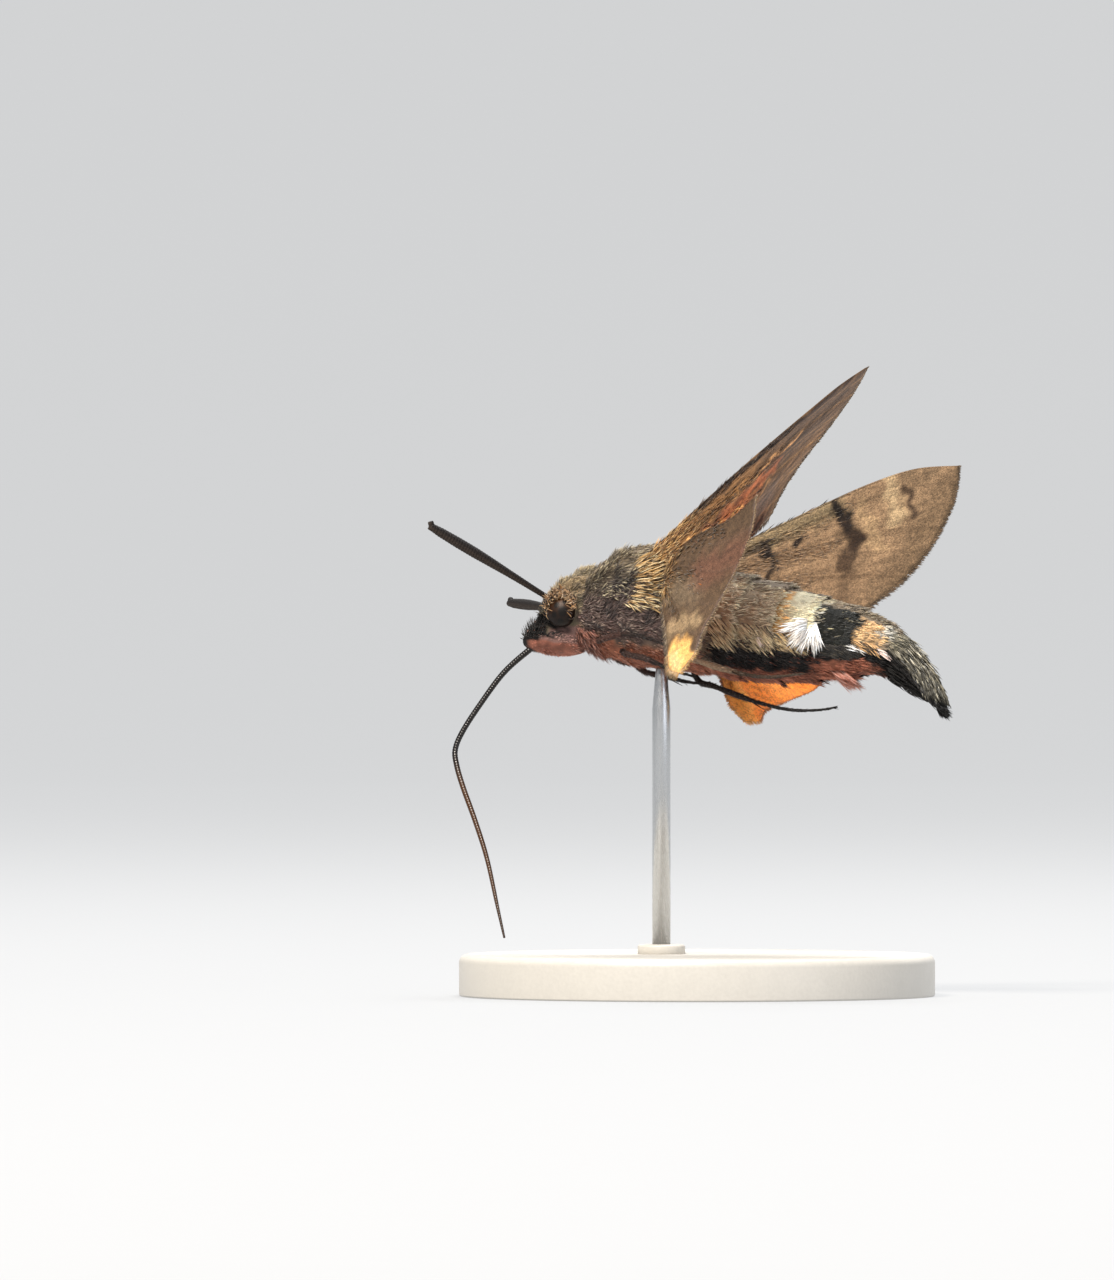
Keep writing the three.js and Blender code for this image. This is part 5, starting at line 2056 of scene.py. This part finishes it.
FOREWING_UPPER = WingPaint(
    0x96795B,
    (
        Stroke(0x8C7E5E, (0, -0.4), (13, -0.5), 1.5, 0.6, 0.6),
        Stroke(0x6E5C44, (0.0, 0.4), (3.0, 1.0), 2.2, 0.8, 0.6),
        Stroke(0x2E2118, (5.5, 0.2), (7.1, 0.25), 0.6, 0.25, 0.8),
        Stroke(0x20160F, (7.1, 0.2), (7.3, 1.5), 0.55, 0.16),
        Stroke(0x20160F, (7.3, 1.5), (6.7, 2.6), 0.6, 0.2, 0.95),
        Stroke(0x33251A, (6.7, 2.6), (5.8, 3.8), 0.6, 0.3, 0.6),
        Stroke(0x261B13, (9.35, 0.65), (9.5, 0.8), 0.65, 0.18),
        Stroke(0x1A120C, (13.2, -1.1), (13.1, -0.1), 0.85, 0.2),
        Stroke(0x1A120C, (13.1, -0.1), (13.4, 1.1), 0.95, 0.22),
        Stroke(0x281C13, (13.4, 1.1), (13.7, 2.4), 1.2, 0.35, 0.95),
        Stroke(0x3A2A1E, (13.7, 2.4), (12.5, 3.6), 1.4, 0.5, 0.85),
        Stroke(0x513D2C, (12.5, 3.6), (11.4, 6.4), 1.1, 0.6, 0.6),
        Stroke(0xBA9A72, (14.8, 0.4), (15.1, 3.5), 0.9, 0.4, 0.6),
        Stroke(0xC4A880, (17.4, -0.9), (17.0, 2.2), 1.1, 0.4, 0.75),
        Stroke(0x3A2A1E, (18.4, 0.4), (18.3, 2.0), 0.7, 0.25, 0.85),
        Stroke(0x6A5640, (18.6, -0.9), (20.6, -0.5), 1.0, 0.5, 0.7),
        Stroke(0x64503A, (21.4, 1.4), (14.4, 7.0), 1.9, 0.9, 0.6),
    ),
    0x6A533C, 0x54432F, streak=0.09,
)
FOREWING_UNDER = WingPaint(
    0x543E2B,
    (
        Stroke(0x74522F, (0.0, 0.4), (13.0, 0.6), 1.8, 0.7, 0.8),
        Stroke(0x4E4039, (6.5, 5.0), (12.0, 5.0), 2.6, 0.9, 0.75),
        Stroke(0x3E2F24, (13.0, 1.5), (22.0, 1.0), 4.6, 1.6, 0.8),
        Stroke(0x84492A, (3.6, 2.0), (13.0, 2.3), 1.1, 0.5, 0.8),
        Stroke(0x9A5834, (5.0, 2.9), (10.5, 3.4), 0.6, 0.35, 0.7),
        Stroke(0x4A3222, (2.5, 1.3), (14.0, 1.5), 0.22, 0.12, 0.7),
        Stroke(0xC8965A, (1.0, 0.3), (5.0, 1.75), 0.3, 0.14, 0.9),
        Stroke(0xC8965A, (5.0, 1.75), (9.0, 2.6), 0.26, 0.14, 0.85),
        Stroke(0xA87C52, (9.0, 1.0), (16.0, 1.3), 0.2, 0.12, 0.7),
        Stroke(0xA87C52, (7.5, 3.7), (12.5, 3.5), 0.2, 0.12, 0.6),
        Stroke(0x2A1F18, (12.5, 2.1), (20.5, 1.3), 0.4, 0.25, 0.8),
        Stroke(0x2A1E18, (0.0, -0.75), (22.0, -0.7), 0.8, 0.25, 0.95),
    ),
    0x86643C, 0x33281F, streak=0.22,
)
HINDWING_UPPER = WingPaint(
    0xF08228,
    (
        Stroke(0x8A5A2C, (0.0, 0.0), (1.6, 0.8), 1.2, 0.5, 0.7),
        Stroke(0xF59C44, (1.2, 6.6), (1.5, 9.4), 2.6, 0.6, 0.85),
        Stroke(0xF8963A, (2.0, 3.2), (6.5, 3.8), 2.4, 0.9, 0.5),
    ),
    0xD07028, 0xD87428, 0.8, 0.1,
)
# the dark brown-grey ground is painted shade from the forewing over the rust-brown underside; the cream lobe
# is the wing's own colour
HINDWING_UNDER = WingPaint(
    0x54412F,
    (
        Stroke(0x6E5E4A, (0.0, 1.5), (3.4, 3.6), 2.0, 0.8, 0.7),
        Stroke(0x74483A, (4.5, 2.8), (9.0, 3.6), 2.2, 0.9, 0.4),
        Stroke(0x9A8262, (0.8, 5.2), (3.2, 6.0), 1.4, 0.5, 0.75),
        Stroke(0xDBA862, (1.2, 8.0), (1.6, 9.4), 3.0, 0.4),
        Stroke(0xE6C490, (0.9, 7.8), (1.2, 8.9), 1.1, 0.45, 0.6),
    ),
    0x5A483A, 0x5E4C42, 0.5, 0.08,
)
FORE_ROOT = (0.2, 2.6, 3.0)
TAN = (0xC49A60, 0xA67A48, 0x7E5C38, 0xD8BC8C)
BROWN = (0x7A644A, 0x9A7E5C, 0x5A4836)
ORANGE = (0xE07A24, 0xC8641A, 0xEE9A40)
WINGS = (
    Wing("forewing", Side.LEFT, FOREWING, FORE_ROOT, (-15.7, 10.7, 16.9), (-0.6, 0.16, -0.78), -36, 18,
         FOREWING_UPPER, FOREWING_UNDER, BROWN, TAN),
    Wing("forewing", Side.RIGHT, FOREWING, FORE_ROOT, (-16.7, 9.7, 16.2), (-0.42, 0.45, -0.79), -13, 12,
         FOREWING_UPPER, FOREWING_UNDER, BROWN, BROWN),
    Wing("hindwing", Side.LEFT, HINDWING, (-1.5, 3.8, 1.6), (-9.6, 11.6, 7.3), (-0.34, 0.3, -0.89), 16, 12,
         HINDWING_UPPER, HINDWING_UNDER, (0xB09878, 0xCDB088, 0x8C745C), TAN,
         300, 1500, (0.35, 0.7)),
    Wing("hindwing", Side.RIGHT, HINDWING, (-1.9, 4.1, 0.9), (-7.4, 13.3, 1.4), (-0.56, -0.26, -0.8), -10, 12,
         HINDWING_UPPER, HINDWING_UNDER, (0xE0A050, 0xE07A24, 0xC8641A), ORANGE,
         300, 900, (0.25, 0.45)),
)


@dataclass(frozen=True)
class WingRoots:
    """The golden tufts that spread from the thorax over the roots of the wings."""

    x: tuple[float, float] = (-1.6, 1.4)
    angle: tuple[float, float] = (78, 128)
    count: int = 700
    seed: int = 701
    colours: tuple[int, ...] = (
        0xD9B987, 0xC09A62, 0x8A683A, 0xE8D4A8, 0x4A3826, 0x2E2218, 0xC8A46E,
    )

    def strands(self) -> Strands:
        """Long soft tufts, fanned tailwards and up along the wing.

        Returns:
            The tufts of both sides.
        """
        draw = np.random.default_rng(self.seed)
        n = self.count * 2
        side = np.repeat([side.value for side in Side], self.count)
        x = draw.uniform(*self.x, n)
        a = draw.uniform(*self.angle, n)
        root, up, lie = TRUNK.frame_at(x, a * side)
        share = (a - self.angle[0]) / (self.angle[1] - self.angle[0])
        turn = side * (-14 + 44 * share) + draw.normal(0, 9, n)
        return Strands(
            root, up, turned(lie, up, turn), draw.uniform(1.2, 2.2, n), draw.uniform(0.07, 0.12, n),
            draw.normal(24, 6, n), draw.normal(24, 8, n), draw.normal(0, 10, n),
            picked(draw, self.colours, n) * draw.lognormal(0, 0.15, n)[:, None],
            np.column_stack([0.05 + 0.9 * share, (a * side + 180) / 360]),
        )

    def build(self) -> None:
        """The tufts as one piece."""
        settle(tuft_shape(self.strands(), 4, 0.4, 0.5).object("wing_root_tufts", [FUR]), "coat")


# Stand

@dataclass(frozen=True)
class Stand:
    """A lacquered disc with a small boss, and a brushed steel rod up to the breast."""

    radius: float = 17.0
    height: float = 3.0
    edge: float = 0.6
    boss_radius: float = 1.7
    boss_height: float = 0.7
    rod_radius: float = 0.65
    tip_radius: float = 0.4
    taper: float = 3.0
    meets: tuple[float, float] = (-1.3, -0.45)

    def top(self) -> Array:
        """Where the rod meets the underside of the body, in the stand's frame.

        Returns:
            The point, in millimetres.
        """
        x, y = self.meets
        middle, high, half = TRUNK.sections(np.array([x]))[0]
        z = middle - high * np.sqrt(1 - (y / half) ** 2)
        return ATTITUDE.apply(np.array([[x, y, z]]))[0]

    def build(self) -> None:
        """Foot and rod."""
        bend = np.linspace(0, np.pi / 2, 8)
        r, h, e = self.radius, self.height, self.edge
        low = [(r - 0.15 + 0.15 * np.sin(a), 0.15 - 0.15 * np.cos(a)) for a in bend]
        high = [(r - e + e * np.cos(a), h - e + e * np.sin(a)) for a in bend]
        rows = [(r * 0.5, 0.0), *low, *high, (r * 0.7, h), (r * 0.4, h), (r * 0.1, h)]
        top = self.top()
        foot = lathe(rows, np.zeros(2), 192)
        b, t = self.boss_radius, self.boss_height
        ring = [(b * 0.84 + 0.16 * b * np.cos(a), h + t - 0.2 + 0.2 * np.sin(a)) for a in bend]
        boss = lathe([(b, h - 0.4), *ring, (b * 0.3, h + t)], top, 64)
        settle(joined([foot, boss]).object("display_foot", [FOOT_PAINT], False), "stand_foot", "stand_foot")
        k, n = self.rod_radius, self.tip_radius
        tip = top[2] + 0.15
        rod = [(k, h + t - 0.4), (k, tip - self.taper), (n, tip - 0.2), (n * 0.8, tip)]
        settle(lathe(rod, top, 48).object("display_rod", [STEEL], False), "stand_rod", "stand_rod")


# Camera, lights and floor

@dataclass
class Studio:
    """A pale sweep all round, soft lights, and the camera at the photograph's angle."""

    camera_at: tuple[float, float, float] = (-10.0, -1000.0, 25.43)
    view_height: float = 91.43
    sensor: float = 24.0
    floor_radius: float = 1400.0
    wall_radius: float = 2000.0
    wall_height: float = 1100.0
    floor_sides: int = 96

    def camera(self) -> None:
        """A level long lens in front of the moth's left side."""
        data = bpy.data.cameras.new("camera")
        data.sensor_fit = "VERTICAL"
        data.sensor_height = self.sensor
        data.lens = self.sensor * abs(self.camera_at[1]) / self.view_height
        data.clip_start, data.clip_end = 0.05, 20.0
        made = bpy.data.objects.new("camera", data)
        made.location = [c * MM for c in self.camera_at]
        made.rotation_euler = (np.pi / 2, 0.0, 0.0)
        bpy.context.scene.collection.objects.link(made)
        bpy.context.scene.camera = made

    def floor(self) -> None:
        """A round floor that curves up into a wall."""
        bend = np.linspace(0, np.pi / 2, 24)
        reach = self.wall_radius - self.floor_radius
        flat = [(r, 0.0) for r in (40.0, 120.0, 400.0, 900.0)]
        sweep = [(self.floor_radius + reach * np.sin(a), reach * (1 - np.cos(a))) for a in bend]
        wall = [(self.wall_radius, self.wall_height)]
        outline = [*flat, *sweep, *wall]
        shape = lathe(outline, np.zeros(2), self.floor_sides)
        shape.tris = shape.tris[:self.floor_sides]
        made = shape.object("floor", [BackdropFinish("floor_paper", 0.9)], False)

    def light(
        self, name: str, at: tuple[float, float, float], size: float, power: float, colour: int
    ) -> None:
        """A square area light that faces the moth.

        Args:
            name: its name.
            at: its place in millimetres.
            size: its side in millimetres.
            power: in watts.
            colour: its colour as 0xRRGGBB.
        """
        data = bpy.data.lights.new(name, "AREA")
        data.size, data.energy, data.color = size * MM, power, linear(colour)
        made = bpy.data.objects.new(name, data)
        made.location = [c * MM for c in at]
        aim = Vector((0.0, 0.0, 0.03)) - made.location
        made.rotation_euler = aim.to_track_quat("-Z", "Y").to_euler()
        bpy.context.scene.collection.objects.link(made)

    def lights(self) -> None:
        """Key from the upper left, a wide fill, a back light and a pale sky."""
        self.light("key_light", (-300.0, -560.0, 680.0), 240.0, 13.0, 0xFFF6EA)
        self.light("fill_light", (620.0, -560.0, 260.0), 600.0, 2.0, 0xEEF3FF)
        self.light("back_light", (120.0, 260.0, 700.0), 320.0, 8.0, 0xFFFFFF)
        world = bpy.data.worlds.new("studio_sky")
        world.use_nodes = True
        background = world.node_tree.nodes["Background"]
        background.inputs[0].default_value = rgba(0xF4F7FC)
        background.inputs[1].default_value = 0.5
        bpy.context.scene.world = world
        bpy.context.scene.view_settings.view_transform = "Standard"


def main() -> None:
    logging.basicConfig(level=logging.INFO, format="%(message)s")
    studio = Studio()
    studio.camera()
    studio.floor()
    studio.lights()
    body = Body()
    body.skin()
    body.coat()
    for tufts in TUFTS:
        tufts.build()
    TailBrush().build()
    for side in Side:
        Eye(side).build()
        Feeler(side).build()
    Tongue().build()
    for leg in LEGS:
        leg.build()
    for wing in WINGS:
        wing.build()
    WingRoots().build()
    Stand().build()


if __name__ == "__main__":
    main()
